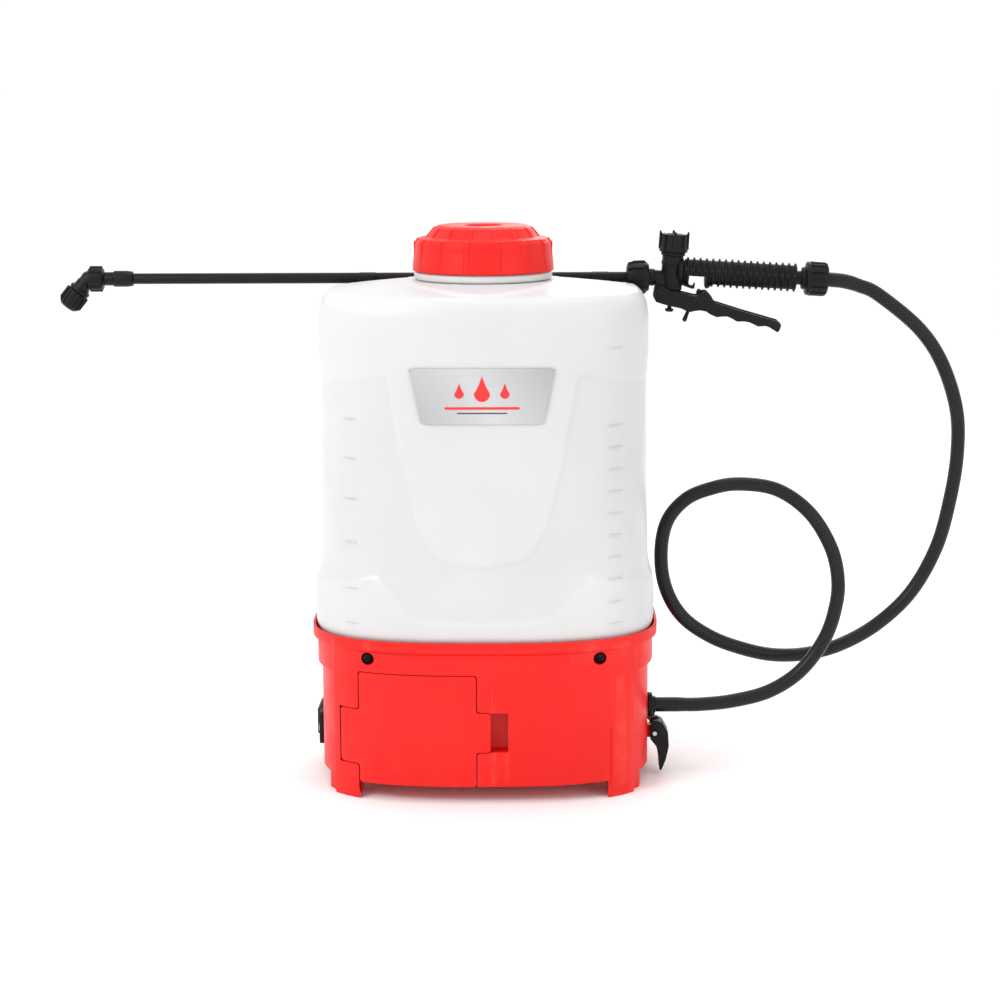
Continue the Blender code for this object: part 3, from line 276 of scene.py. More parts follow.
def hose_finish():
    """Black reinforced hose: a diamond braid just under a glossy skin. u is metres along it, v once round."""
    finish = Finish("hose_rubber", 0.30, Coat_Weight=0.12, Coat_Roughness=0.09, Specular_IOR_Level=0.16)
    uv = finish.add("ShaderNodeTexCoord").outputs["UV"]
    along, around = finish.axis("X", uv), finish.axis("Y", uv)
    starts, lead = 12, 0.0046
    threads = []
    for hand in (1, -1):
        phase = finish.math("ADD", finish.math("DIVIDE", along, lead),
            finish.math("MULTIPLY", around, hand * starts))
        threads.append(finish.spread(finish.ripple(phase, 1.0), 0.0, 1.0, 0.35, 0.95))
    braid = finish.math("MAXIMUM", *threads)
    knot = finish.math("MULTIPLY", *threads)
    dark = finish.mix(finish.spread(finish.noise(40.0), 0.0, 1.0), (0.003, 0.003, 0.003),
        (0.005, 0.005, 0.005))
    threaded = finish.mix(finish.math("MULTIPLY", braid, 0.55), dark, (0.014, 0.014, 0.015))
    finish.colour(finish.mix(finish.math("MULTIPLY", knot, 0.8), threaded, (0.06, 0.06, 0.06)))
    finish.rough(finish.spread(braid, 0.34, 0.20, 0.0, 1.0))
    finish.bump(braid, 0.55, 0.0003)
    return finish.material


def grip_finish():
    finish = Finish("grip_rubber", 0.58, Specular_IOR_Level=0.18)
    # The rib crests are painted lighter grey: a painted highlight along every crest, broken up a little by
    # noise.
    painted_crest_highlight = finish.math("MULTIPLY", finish.pointed(0.52, 0.60), finish.spread(finish.noise(80.0), 0.35, 0.9))
    body = finish.mix(finish.spread(finish.noise(30.0), 0.0, 1.0), (0.004, 0.004, 0.004),
        (0.008, 0.008, 0.008))
    finish.colour(finish.mix(painted_crest_highlight, body, (0.035, 0.036, 0.037)))
    finish.rough(finish.spread(finish.noise(120.0), 0.50, 0.68))
    finish.bump(finish.noise(700.0), 0.4, 0.0002)
    return finish.material


def brushed(name, colour, roughness, stretch):
    finish = Finish(name, roughness, metallic=1.0)
    lines = finish.noise(140.0, 5.0, stretch)
    tarnish = finish.noise(26.0, 4.0)
    body = finish.mix(finish.spread(lines, 0.0, 1.0), shade(colour, 0.82), shade(colour, 1.08))
    finish.colour(finish.mix(finish.spread(tarnish, 0.0, 0.5), body, shade(colour, 0.6)))
    finish.rough(finish.spread(lines, roughness - 0.08, roughness + 0.12))
    finish.bump(lines, 0.3, 0.00008)
    return finish.material


def label_finish():
    """Silver-grey film with a faint brushed print, painted lighter along a slanted band across its middle as
    a painted reflection.
    """
    finish = Finish("label_film", 0.32, Coat_Weight=0.4, Coat_Roughness=0.15)
    # Painted reflection: lighter along a slanted band through the film's middle, darker away from it.
    across = finish.math("ADD", finish.axis("X"), finish.math("MULTIPLY", finish.axis("Z"), 0.6))
    middle = ORIGIN_SHIFT[0] + 0.6 * (LABEL_LOW + LABEL_HIGH) / 2
    away = finish.math("ABSOLUTE", finish.math("SUBTRACT", across, middle))
    painted_reflection_falloff = finish.spread(away, 0.0, 1.0, 0.0, 0.070)
    body = finish.mix(painted_reflection_falloff, (0.52, 0.52, 0.53), (0.36, 0.36, 0.37))
    print_lines = finish.noise(300.0, 3.0, (0.05, 1.0, 1.0))
    finish.colour(finish.mix(finish.spread(print_lines, 0.0, 0.25), body, (0.42, 0.42, 0.43)))
    finish.rough(finish.spread(finish.noise(45.0), 0.28, 0.40))
    finish.bump(print_lines, 0.10, 0.00005)
    return finish.material


def woven(name, colour, period, height, sheen):
    """A plain weave: over and under threads in two directions, with fuzz and colour variation."""
    finish = Finish(name, 0.88, Sheen_Weight=sheen, Sheen_Roughness=0.5)
    across, up = finish.axis("X"), finish.axis("Z")
    warp, weft = finish.ripple(across, period), finish.ripple(up, period)
    weave = finish.spread(finish.math("MULTIPLY", warp, weft), 0.0, 1.0, -1.0, 1.0)
    fuzz = finish.noise(420.0, 3.0)
    body = finish.mix(weave, shade(colour, 0.55), shade(colour, 1.35))
    faded = finish.spread(finish.noise(14.0), 0.0, 0.4)
    finish.colour(finish.mix(faded, body, shade(colour, 1.9)))
    finish.rough(finish.spread(fuzz, 0.78, 0.96))
    finish.bump(finish.math("ADD", weave, finish.math("MULTIPLY", fuzz, 0.5)), 0.7, height)
    return finish.material


def board_finish():
    finish = Finish("circuit_board", 0.35, Coat_Weight=0.5)
    tracks = finish.add("ShaderNodeTexBrick")
    tracks.inputs["Scale"].default_value = 120.0
    tracks.inputs["Mortar Size"].default_value = 0.06
    finish.wire(finish.stretched((1.0, 1.0, 1.0)), tracks.inputs["Vector"])
    finish.colour(finish.mix(tracks.outputs["Fac"], (0.012, 0.13, 0.045), (0.03, 0.24, 0.10)))
    finish.rough(finish.spread(finish.noise(60.0), 0.3, 0.5))
    finish.bump(tracks.outputs["Fac"], 0.4, 0.0001)
    return finish.material


def mesh_finish():
    finish = Finish("strainer_mesh", 0.5)
    across, up = finish.axis("X"), finish.axis("Z")
    holes = finish.math("MULTIPLY", finish.ripple(across, 0.0016), finish.ripple(up, 0.0016))
    finish.colour(finish.mix(finish.spread(holes, 0.0, 1.0, 0.0, 0.6), (0.80, 0.80, 0.78),
        (0.25, 0.25, 0.24)))
    finish.rough(finish.spread(finish.noise(50.0), 0.42, 0.58))
    finish.bump(holes, 0.6, 0.0004)
    return finish.material


MATERIALS = {
    "tank_plastic": tank_finish(),
    "red_plastic": moulded("red_plastic", (0.72, 0.006, 0.003), 0.40, worn=(0.80, 0.08, 0.06),
        Specular_IOR_Level=0.30),
    "black_plastic": moulded("black_plastic", (0.006, 0.006, 0.0065), 0.40, worn=(0.035, 0.035, 0.036),
        Specular_IOR_Level=0.17),
    "hose_rubber": hose_finish(),
    "grip_rubber": grip_finish(),
    "seal_rubber": moulded("seal_rubber", (0.007, 0.007, 0.007), 0.62, grain=500.0, worn=(0.03, 0.03, 0.03),
        Specular_IOR_Level=0.18),
    "steel": brushed("steel", (0.60, 0.61, 0.62), 0.30, (1.0, 1.0, 0.08)),
    "brass": brushed("brass", (0.72, 0.53, 0.24), 0.32, (1.0, 1.0, 0.1)),
    "label_film": label_finish(),
    "circuit_board": board_finish(),
    "strap_fabric": woven("strap_fabric", (0.022, 0.022, 0.025), 0.0026, 0.0006, 0.35),
    "webbing": woven("webbing", (0.016, 0.016, 0.018), 0.0018, 0.0004, 0.25),
    "strainer_mesh": mesh_finish(),
}
INK_RED = moulded("ink_red", (0.80, 0.020, 0.016), 0.30, relief=0.00002, wear=0.1)
INK_DARK = moulded("ink_dark", (0.020, 0.020, 0.022), 0.30, relief=0.00002, wear=0.1)


# ------------------------------------------------------------------ mesh helpers
def make(name, bm, slot, body, place=FRAME, nodes=(), edge=0.0, angle=35.0, finish=None):
    """A finished piece: meshed in its own place, shaded, bevelled if edge is given, and riding on a body."""
    bmesh.ops.recalc_face_normals(bm, faces=bm.faces)
    mesh = bpy.data.meshes.new(name)
    bm.to_mesh(mesh)
    bm.free()
    return settle(name, mesh, slot, body, place, nodes, edge, angle, finish)


def settle(name, mesh, slot, body, place, nodes, edge, angle, finish=None):
    mesh.transform(place)
    mesh.materials.clear()
    mesh.materials.append(finish or MATERIALS[slot])
    obj = bpy.data.objects.new(name, mesh)
    bpy.context.collection.objects.link(obj)
    if edge:
        bevel(obj, edge)
    obj.data.shade_smooth()
    obj.data.set_sharp_from_angle(angle=math.radians(angle))
    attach(obj, body)
    if nodes:
        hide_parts(*nodes)
    return obj


def bevel(obj, width, segments=2, angle=30.0):
    modifier = obj.modifiers.new("edges", "BEVEL")
    modifier.width, modifier.segments = width, segments
    modifier.limit_method, modifier.angle_limit = "ANGLE", math.radians(angle)
    modifier.harden_normals = False
    apply_modifiers(obj)


def apply_modifiers(obj):
    graph = bpy.context.evaluated_depsgraph_get()
    graph.update()
    mesh = bpy.data.meshes.new_from_object(obj.evaluated_get(graph))
    obj.modifiers.clear()
    obj.data = mesh


def helper(bm, place=HERE):
    bmesh.ops.recalc_face_normals(bm, faces=bm.faces)
    mesh = bpy.data.meshes.new("helper")
    bm.to_mesh(mesh)
    bm.free()
    mesh.transform(place)
    obj = bpy.data.objects.new("helper", mesh)
    bpy.context.collection.objects.link(obj)
    return obj


def carved(bm, steps):
    """The mesh of a body after its Boolean steps, each (operation, bmesh, place). Helpers are removed."""
    body = helper(bm)
    tools = []
    for operation, tool, place in steps:
        tools.append(helper(tool, place))
        boolean = body.modifiers.new(operation.lower(), "BOOLEAN")
        boolean.operation, boolean.solver, boolean.object = operation, "EXACT", tools[-1]
    apply_modifiers(body)
    mesh = body.data
    for obj in (body, *tools):
        bpy.data.objects.remove(obj, do_unlink=True)
    return mesh


def join(bm, place=HERE):
    return "UNION", bm, place


def cut(bm, place=HERE):
    return "DIFFERENCE", bm, place


def both(bm, place=HERE):
    return "INTERSECT", bm, place


def loft(rings, loop=False):
    """A closed body through rings of equal count. A loop joins last to first; otherwise ends are capped."""
    bm = bmesh.new()
    rows = [[bm.verts.new(point) for point in ring] for ring in rings]
    pairs = list(zip(rows, rows[1:]))
    if loop:
        pairs.append((rows[-1], rows[0]))
    for low, high in pairs:
        for i in range(len(low)):
            after = (i + 1) % len(low)
            bm.faces.new((low[i], low[after], high[after], high[i]))
    if not loop:
        bm.faces.new(rows[0][::-1])
        bm.faces.new(rows[-1])
    bmesh.ops.remove_doubles(bm, verts=bm.verts, dist=1e-6)
    return bm


def filleted(points, radius, closed=False, steps=3):
    """The points with each corner eased by a small curve. The ends of an open line stay."""
    points = [Vector(point) for point in points]
    line = []
    for i, here in enumerate(points):
        if not closed and i in (0, len(points) - 1):
            line.append(tuple(here))
            continue
        before, after = points[i - 1] - here, points[(i + 1) % len(points)] - here
        half = before.angle(after) / 2
        if half > math.radians(84):
            line.append(tuple(here))
            continue
        reach = min(radius / math.tan(half), 0.45 * before.length, 0.45 * after.length)
        start, end = here + before.normalized() * reach, here + after.normalized() * reach
        for k in range(steps + 1):
            t = k / steps
            line.append(tuple(start * (1 - t) ** 2 + here * (2 * t * (1 - t)) + end * t * t))
    return line


def mm(points):
    return [(a / 1000, b / 1000) for a, b in points]


def eased(points, radius, closed=False, steps=3):
    """filleted, for an outline and a radius in millimetres."""
    return filleted(mm(points), radius / 1000, closed, steps)


def turned(profile, turns=56, loop=False, lift=None):
    """A round body about +Z from (radius, height) points. lift(radius, height, angle) adds to the radius.
    turns is a count of even steps, or a list of angles."""
    angles = [TURN * i / turns for i in range(turns)] if isinstance(turns, int) else turns
    rings = []
    for radius, height in profile:
        ring = []
        for angle in angles:
            reach = radius + (lift(radius, height, angle) if lift else 0.0)
            ring.append((reach * math.cos(angle), reach * math.sin(angle), height))
        rings.append(ring)
    return loft(rings, loop)


def rod(radius, low, high, turns=32):
    return turned([(radius, low), (radius, high)], turns)


def rib_turns(count, half_widths, between=3):
    """Angles for a ribbed round body: close together at each rib's flanks, evenly spread between ribs."""
    pitch = TURN / count
    offsets = sorted({sign * math.radians(width) for width in half_widths for sign in (-1, 1)} | {0.0})
    gap_start, gap = offsets[-1], pitch - 2 * offsets[-1]
    offsets += [gap_start + gap * k / (between + 1) for k in range(1, between + 1)]
    return [pitch * i + offset for i in range(count) for offset in offsets]


def rib_lift(count, half_deg, flank_deg, depth, low, high, ease=0.0008):
    """Ribs of a ribbed body: depth high between low and high, with sloped flanks."""
    pitch = 360.0 / count

    def lift(_, height, angle):
        away = abs((math.degrees(angle) + pitch / 2) % pitch - pitch / 2)
        across = min(1.0, max(0.0, (half_deg + flank_deg - away) / flank_deg))
        along = min(1.0, max(0.0, min(height - low, high - height) / ease + 1.0))
        return depth * across * along

    return lift


def slab(outline, low, high, axis="Z"):
    """A straight extrusion of a 2-D outline along an axis; the outline's plane is the other two in order."""
    place = {
        "X": lambda a, b, c: (c, a, b),
        "Y": lambda a, b, c: (a, c, b),
        "Z": lambda a, b, c: (a, b, c),
    }[axis]
    return loft([[place(a, b, c) for a, b in outline] for c in (low, high)])


def block(low, high):
    return slab([(low[0], low[1]), (high[0], low[1]), (high[0], high[1]), (low[0], high[1])], low[2], high[2])


def smooth_path(route, step):
    """Points at an even spacing along the same smooth curve that the CAD's flexible pieces follow."""
    fine = []
    padded = [route[0] * 2 - route[1], *route, route[-1] * 2 - route[-2]]
    for a, b, c, d in zip(padded, padded[1:], padded[2:], padded[3:]):
        for k in range(16):
            t = k / 16
            fine.append(
                0.5 * (2 * b + (c - a) * t + (2 * a - 5 * b + 4 * c - d) * t**2
                       + (3 * b - a - 3 * c + d) * t**3)
            )
    fine.append(route[-1])
    reach = [0.0]
    for a, b in zip(fine, fine[1:]):
        reach.append(reach[-1] + (b - a).length)
    count = max(2, round(reach[-1] / step))
    wanted = np.linspace(0.0, reach[-1], count + 1)
    columns = [np.interp(wanted, reach, [point[axis] for point in fine]) for axis in range(3)]
    return [Vector(point) for point in zip(*columns)]


def refined(node, slot, body, edge):
    """A CAD node's own shape with its facets merged and its edges eased."""
    bm = bmesh.new()
    bm.from_mesh(frame["nodes"][node].data)
    bmesh.ops.remove_doubles(bm, verts=bm.verts, dist=2e-6)
    bmesh.ops.dissolve_limit(bm, angle_limit=math.radians(1.0), verts=bm.verts, edges=bm.edges)
    make(f"{node}_eased", bm, slot, body, HERE, (node,), edge, 30.0)


# ------------------------------------------------------------------ plan outlines
def even(points, count, closed=True):
    """count points at even spacing along a line through the given points."""
    line = np.vstack([points, points[:1]]) if closed else np.asarray(points)
    reach = np.concatenate([[0.0], np.cumsum(np.linalg.norm(np.diff(line, axis=0), axis=1))])
    wanted = np.linspace(0.0, reach[-1], count + 1 if closed else count)
    wanted = wanted[:-1] if closed else wanted
    return np.column_stack([np.interp(wanted, reach, line[:, k]) for k in range(2)])


def plan(half_width, front_power=FRONT_POWER, rear_power=REAR_POWER, reach=None, waist=WAIST_Y):
    """The D-shaped outline that the tank and the base share, anticlockwise from +X, as many (x, y) points."""
    depth = half_width - PLAN_DEPTH_LESS if reach is None else reach
    turns = np.linspace(0.0, TURN, 1441)[:-1]
    across, along = np.cos(turns), np.sin(turns)
    power = np.where(along >= 0, rear_power, front_power)
    side = np.where(along >= 0, depth - waist, depth + waist)
    return np.column_stack([
        half_width * np.sign(across) * np.abs(across) ** (2 / power),
        waist + side * np.sign(along) * np.abs(along) ** (2 / power),
    ])


def smoothstep(value):
    value = np.clip(value, 0.0, 1.0)
    return value * value * (3 - 2 * value)


def front_y(half_width, x):
    """How far forward the plan's front reaches at x."""
    reach = half_width - PLAN_DEPTH_LESS + WAIST_Y
    return WAIST_Y - reach * (1 - abs(x / half_width) ** FRONT_POWER) ** (1 / FRONT_POWER)


# ------------------------------------------------------------------ tank
TANK_TURNS = 360
TANK_STEP = 0.0021
TANK_PROFILE = [  # (half width, height) up the side
    (0.1420, TANK_FLOOR), (0.1490, 0.1405), (0.1520, 0.1435), (0.1553, 0.1490), (0.1562, 0.1640),
    (0.1553, 0.1870), (0.1516, 0.2090), (0.1497, 0.2900), (0.1486, 0.3850), (0.1497, 0.3960),
    (TANK_HALF, 0.4290), (0.1486, 0.4400), (0.1456, 0.4480), (SHOULDER_HALF, SHOULDER_Z),
]
SHIELD = eased([  # proud panel on the front, half of it, from the top down to its middle
    (83, 410), (83, 373), (70, 303), (57, 249), (39.5, 222), (0, 215),
], 12)
LOW_BAND = eased([  # top line of the proud band round the foot, from the side to the middle
    (250, 190), (150, 193), (94, 205.6), (74, 184), (59, 169.6), (0, 165.3),
], 6)
PANEL_TOP = [(0.2500, 0.3770), (0.1300, 0.3770), (0.0895, 0.3846), (0.0, 0.3900)]
RELIEF, RELIEF_EDGE = 0.0013, 0.0036


def mirrored(half):
    """A closed outline from half of it, which runs from the +X side to the middle."""
    return half + [(-x, z) for x, z in reversed(half) if x > 0]


def outside(x, z, outline):
    """Signed distance of points from a closed outline, positive outside it."""
    distance = np.full(x.shape, 1.0)
    crossings = np.zeros(x.shape, int)
    for (ax, az), (bx, bz) in zip(outline, outline[1:] + outline[:1]):
        dx, dz = bx - ax, bz - az
        share = np.clip(((x - ax) * dx + (z - az) * dz) / (dx * dx + dz * dz + 1e-12), 0.0, 1.0)
        distance = np.minimum(distance, np.hypot(x - ax - share * dx, z - az - share * dz))
        spans = (az > z) != (bz > z)
        crossings += spans & (x < ax + (z - az) * dx / (dz if dz else 1e-12))
    return np.where(crossings % 2 == 1, -distance, distance)


def blended(a, b, width):
    """The smaller of two distances, with a rounded meeting."""
    share = np.clip(0.5 + 0.5 * (b - a) / width, 0.0, 1.0)
    return b + (a - b) * share - width * share * (1 - share)


def tank_recess(x, y, z):
    """How far the tank's side panels sit back: the shield, the upper band and the foot band stay proud."""
    shield = outside(x, z, mirrored(SHIELD))
    foot_line = mirrored(LOW_BAND) + [(-0.25, 0.05), (0.25, 0.05)]
    foot = outside(x, z, foot_line)
    top = outside(x, z, mirrored(PANEL_TOP) + [(-0.25, 0.60), (0.25, 0.60)])
    plain_foot, plain_top = z - 0.1930, 0.3770 - z
    rear_panel = np.maximum(np.abs(x) - 0.104, np.maximum(0.212 - z, z - 0.42))
    front = blended(blended(shield, top, 0.008), foot, 0.006)
    rear = blended(blended(rear_panel, plain_top, 0.012), plain_foot, 0.010)
    share = smoothstep((y - WAIST_Y + 0.010) / 0.020)
    return RELIEF * smoothstep(0.5 + (front * (1 - share) + rear * share) / RELIEF_EDGE)


def ledge_drop(x, y, z):
    """The shoulder drops at the rear, where the lance lies."""
    start = LEDGE_Y - 0.0100 - 0.15 * np.maximum(0.0, np.abs(x) - 0.1100)
    return LEDGE_DROP * smoothstep((y - start) / 0.0090) * np.clip((z - 0.428) / 0.014, 0.0, 1.0)


def neck_flare(x, y):
    """A low oval cone that spreads from the neck towards the front."""
    away = np.hypot(x / 0.0740, np.where(y < 0, y / 0.0830, y / 0.0640)) - 1.0
    return 0.0016 * (1 - smoothstep(0.5 + away * 0.074 / 0.0050))


def along_profile(points, step):
    """A profile resampled and eased."""
    points = np.array(points)
    reach = np.concatenate([[0.0], np.cumsum(np.linalg.norm(np.diff(points, axis=0), axis=1))])
    wanted = np.linspace(0.0, reach[-1], round(reach[-1] / step) + 1)
    line = np.column_stack([np.interp(wanted, reach, points[:, k]) for k in range(2)])
    for _ in range(4):
        line[1:-1] = 0.25 * line[:-2] + 0.5 * line[1:-1] + 0.25 * line[2:]
    return line


def tank_ring(outline, height):
    flat = even(outline, TANK_TURNS)
    return np.column_stack([flat, np.full(TANK_TURNS, height)])


def shoulder_plan(share, inset=0.0):
    """From the tank's plan (share 0) to the round neck (share 1)."""
    edge, neck = SHOULDER_HALF - inset, NECK_R - inset
    edge_reach = edge - PLAN_DEPTH_LESS
    return plan(
        edge + (neck - edge) * share,
        FRONT_POWER + (2.0 - FRONT_POWER) * share,
        REAR_POWER + (2.0 - REAR_POWER) * share,
        edge_reach + (neck - edge_reach) * share,
        WAIST_Y * (1 - share),
    )


def make_tank():
    rings = []
    for half, height in along_profile(TANK_PROFILE, TANK_STEP):
        ring = tank_ring(plan(half), height)
        tangent = np.roll(ring[:, :2], -1, axis=0) - np.roll(ring[:, :2], 1, axis=0)
        normal = np.column_stack([tangent[:, 1], -tangent[:, 0]])
        normal /= np.linalg.norm(normal, axis=1)[:, None]
        depth = tank_recess(*ring.T)
        ring[:, :2] -= normal * depth[:, None]
        ring[:, 2] -= ledge_drop(*ring.T)
        rings.append(ring)
    steps = 30
    for k in range(1, steps + 1):
        share = k / steps
        ring = tank_ring(shoulder_plan(share), SHOULDER_Z + (NECK_FOOT_Z - SHOULDER_Z) * share)
        ring[:, 2] += neck_flare(ring[:, 0],
            ring[:, 1]) * smoothstep(np.array((1 - share) * 6)) - ledge_drop(*ring.T)
        rings.append(ring)
    neck = filleted([
        (0.0600, 0.4630), (0.0620, 0.4640), (0.0625, 0.4655), (0.0625, 0.4685), (0.0612, 0.4698),
        (NECK_R, 0.4702),
        (NECK_R, NECK_TOP_Z), (NECK_R - TANK_WALL, NECK_TOP_Z), (NECK_R - TANK_WALL, 0.4700),
    ], 0.0006)
    rings += [tank_ring(plan(r, 2.0, 2.0, r, 0.0), z) for r, z in neck]
    for share in (1.0, 0.8, 0.6, 0.4, 0.2, 0.0):
        level = SHOULDER_Z + (NECK_FOOT_Z - SHOULDER_Z) * share - TANK_WALL
        ring = tank_ring(shoulder_plan(share, TANK_WALL), level)
        ring[:, 2] -= ledge_drop(*ring.T)
        rings.append(ring)
    inner = [(half - TANK_WALL - RELIEF, height) for half, height in TANK_PROFILE[3:-2]]
    inner = [(0.1400, TANK_FLOOR + TANK_WALL), (0.1490, TANK_FLOOR + 0.0050), *inner]
    for half, height in reversed(inner):
        ring = tank_ring(plan(half), height)
        ring[:, 2] -= ledge_drop(*ring.T)
        rings.append(ring)
    make("tank_shell", loft([ring.tolist() for ring in rings]), "tank_plastic", "machine", nodes=("tank",),
        angle=50)


def make_level_marks():
    """Raised filling marks: litres up the right of the front, a coarser scale up the left."""
    litres = [0.1612 + 0.0197 * i for i in range(10)] + [0.4078]
    coarse = [0.1620, 0.1930, 0.2338, 0.2730, 0.3095, 0.3445]
    bm = bmesh.new()
    for heights, start, end in ((litres, 0.1115, 0.1240), (coarse, -0.1120, -0.1238)):
        for height in heights:
            half = float(np.interp(height, [z for _, z in TANK_PROFILE], [h for h, _ in TANK_PROFILE]))
            rows = []
            for k in range(7):
                x = start + (end - start) * k / 6
                y = front_y(half, x) + float(tank_recess(np.array([x]), np.array([-0.06]),
                    np.array([height]))[0])
                reach = 0.00045 if 0 < k < 6 else 0.0
                rows.append([
                    (x, y + 0.0008, height - 0.0006), (x, y - reach, height - 0.0004),
                    (x, y - reach, height + 0.0004), (x, y + 0.0008, height + 0.0006),
                ])
            verts = [[bm.verts.new(point) for point in row] for row in rows]
            for a, b in zip(verts, verts[1:]):
                for i in range(4):
                    bm.faces.new((a[i], a[(i + 1) % 4], b[(i + 1) % 4], b[i]))
            bm.faces.new(verts[0])
            bm.faces.new(verts[-1][::-1])
    make("level_marks", bm, "tank_plastic", "machine")


# ------------------------------------------------------------------ filler cap and strainer
def make_cap():
    outer = filleted([
        (0.0612, CAP_LOW), (0.0634, CAP_LOW), (0.0638, CAP_LOW + 0.0015), (0.0600, 0.4965), (0.0580, 0.4998),
        (0.0500, 0.5013), (0.0435, 0.5092), (0.0397, CAP_TOP), (0.0185, CAP_TOP), (0.0168, CAP_TOP - 0.0016),
        (0.0165, CAP_TOP - 0.0034), (0.0020, CAP_TOP - 0.0034),
    ], 0.0014, steps=4)
    inner = [(0.0020, 0.5046), (0.0380, 0.5060), (0.0470, 0.4990), (0.0608, 0.4968), (0.0612, 0.4950)]
    turns = rib_turns(CAP_RIBS, (0.9, 1.9, 2.7, 4.5))
    skirt = rib_lift(CAP_RIBS, 1.9, 0.8, 0.0015, CAP_LOW + 0.0030, 0.4995)
    dome = rib_lift(CAP_RIBS, 1.9, 0.8, 0.0013, 0.4995, 0.5098, 0.0010)

    def ribs(radius, height, angle):
        if radius < 0.0400 or height > 0.5100:
            return 0.0
        return skirt(radius, height, angle) if height < 0.5000 else dome(radius, height, angle)

    lobes = turned(outer + inner, turns, loop=True, lift=ribs)
    make("filler_cap", lobes, "red_plastic", "cap", nodes=("tank_cap",), angle=28)


# ------------------------------------------------------------------ label
def make_film(name, low, high, start, end, lift, thickness, finish, nodes=(), columns=40):
    """A thin film on the tank's front between two curves of x."""
    tank_half = 0.1490
    rows = []
    for k in range(columns + 1):
        x = start + (end - start) * (1 - math.cos(math.pi * k / columns)) / 2
        y = front_y(tank_half, x) - lift
        rows.append([(x, y, low(x)), (x, y - thickness, low(x)), (x, y - thickness, high(x)),
            (x, y, high(x))])
    return make(name, loft(rows), "label_film", "machine", nodes=nodes, finish=finish, angle=50)


def rounded_box(half, low, high, corner):
    """Lower and upper curves of a box with round corners."""
    def ease(x):
        over = max(0.0, abs(x) - (half - corner))
        return corner - math.sqrt(max(0.0, corner * corner - over * over))
    return (lambda x: low + ease(x)), (lambda x: high - ease(x))


def make_label():
    corner = 0.0045
    slope = (LABEL_HIGH - LABEL_LOW) / (LABEL_HALF_TOP - LABEL_HALF_LOW)

    def top(x):
        over = max(0.0, abs(x) - (LABEL_HALF_TOP - corner))
        return LABEL_HIGH - corner + math.sqrt(max(0.0, corner * corner - over * over))

    def bottom(x):
        side = LABEL_LOW + slope * (abs(x) - LABEL_HALF_LOW)
        ease = 0.0040
        over = min(1.0, max(0.0, (abs(x) - LABEL_HALF_LOW + ease) / (2 * ease)))
        return min(LABEL_HIGH - 0.0006, max(LABEL_LOW, side) + ease * 1.2 * over * (1 - over))

    half = LABEL_HALF_TOP - 0.0001
    make_film("label", bottom, top, -half, half, 0.0003, 0.0013, None, ("front_label",), 72)
    middle, face = 0.3700, 0.0016
    for k, (radius, spread) in enumerate(((0.0070, 0.0), (0.0042, 0.0200), (0.0042, -0.0200))):
        def drop_low(x, r=radius, c=spread):
            return middle - math.sqrt(max(0.0, r * r - (x - c) ** 2))

        def drop_high(x, r=radius, c=spread):
            share = min(1.0, abs(x - c) / r)
            return middle + 1.9 * r * (1 - share) ** 1.6 + 0.35 * r * math.sqrt(max(0.0, 1 - share * share))

        make_film(f"label_drop_{k}", drop_low, drop_high, spread - radius, spread + radius, face, 0.0002,
            INK_RED, columns=20)
    for k, (half, low, high) in enumerate(((0.0330, 0.3562, 0.3584), (0.0220, 0.3524, 0.3534))):
        low_curve, high_curve = rounded_box(half, low, high, (high - low) / 2)
        ink = INK_RED if k == 0 else INK_DARK
        make_film(f"label_stripe_{k}", low_curve, high_curve, -half, half, face, 0.0002, ink, columns=36)


# ------------------------------------------------------------------ base
ARC_POINTS = (34, 110)  # along each side, and along the front and the rear


def panelled(front_half, side_half, height):
    """The base's outline: between its upright ridges it follows front_half, and side_half beyond them."""
    proud, back = plan(front_half), plan(side_half)
    ring = []
    for quarter, (source, keep) in enumerate((
        (back, lambda p: p[0] > RIDGE_X), (proud, lambda p: abs(p[0]) <= RIDGE_X and p[1] > WAIST_Y),
        (back, lambda p: p[0] < -RIDGE_X), (proud, lambda p: abs(p[0]) <= RIDGE_X and p[1] < WAIST_Y),
    )):
        arc = np.array([p for p in source if keep(p)])
        if quarter == 0:  # this stretch runs through the outline's first point
            split = int((arc[:, 1] < WAIST_Y - 1e-9).argmax())
            arc = np.vstack([arc[split:], arc[:split]])
        edge = RIDGE_X
        if quarter in (1, 3):
            arc[0, 0], arc[-1, 0] = (edge, -edge) if quarter == 1 else (-edge, edge)
        else:
            arc[0, 0] = arc[-1, 0] = edge if quarter == 0 else -edge
        ring.append(even(arc, ARC_POINTS[quarter % 2], closed=False))
    flat = np.vstack(ring)
    return [(float(x), float(y), height) for x, y in flat]


def base_wall(low, high):
    outer = [panelled(BAND_HALF, BASE_SIDE_HALF, z) for z in (low, high)]
    inner = [panelled(BAND_HALF - WALL, BASE_SIDE_HALF - WALL, z) for z in (high, low)]
    return loft(outer + inner, loop=True)


def door_outline(grow):
    """The battery door seen from the front, with its hinge tab and its latch tab."""
    left, right, top = DOOR_LEFT - grow, DOOR_RIGHT + grow, DOOR_TOP + grow
    hinge, hinge_low, hinge_high = HINGE_TAB[0] - grow, HINGE_TAB[1] - grow, HINGE_TAB[2] + grow
    latch, latch_low, latch_high = LATCH_TAB[0] + grow, LATCH_TAB[1] - grow, LATCH_TAB[2] + grow
    low = SKIRT_LOW - (0.01 if grow else 0.0)
    tabs = [
        (left, low), (right, low), (right, latch_low), (latch, latch_low), (latch, latch_high),
        (right, latch_high),
        (right, top), (left, top), (left, hinge_high), (hinge, hinge_high), (hinge, hinge_low),
        (left, hinge_low),
    ]
    return filleted(tabs, 0.0032, closed=True, steps=4)


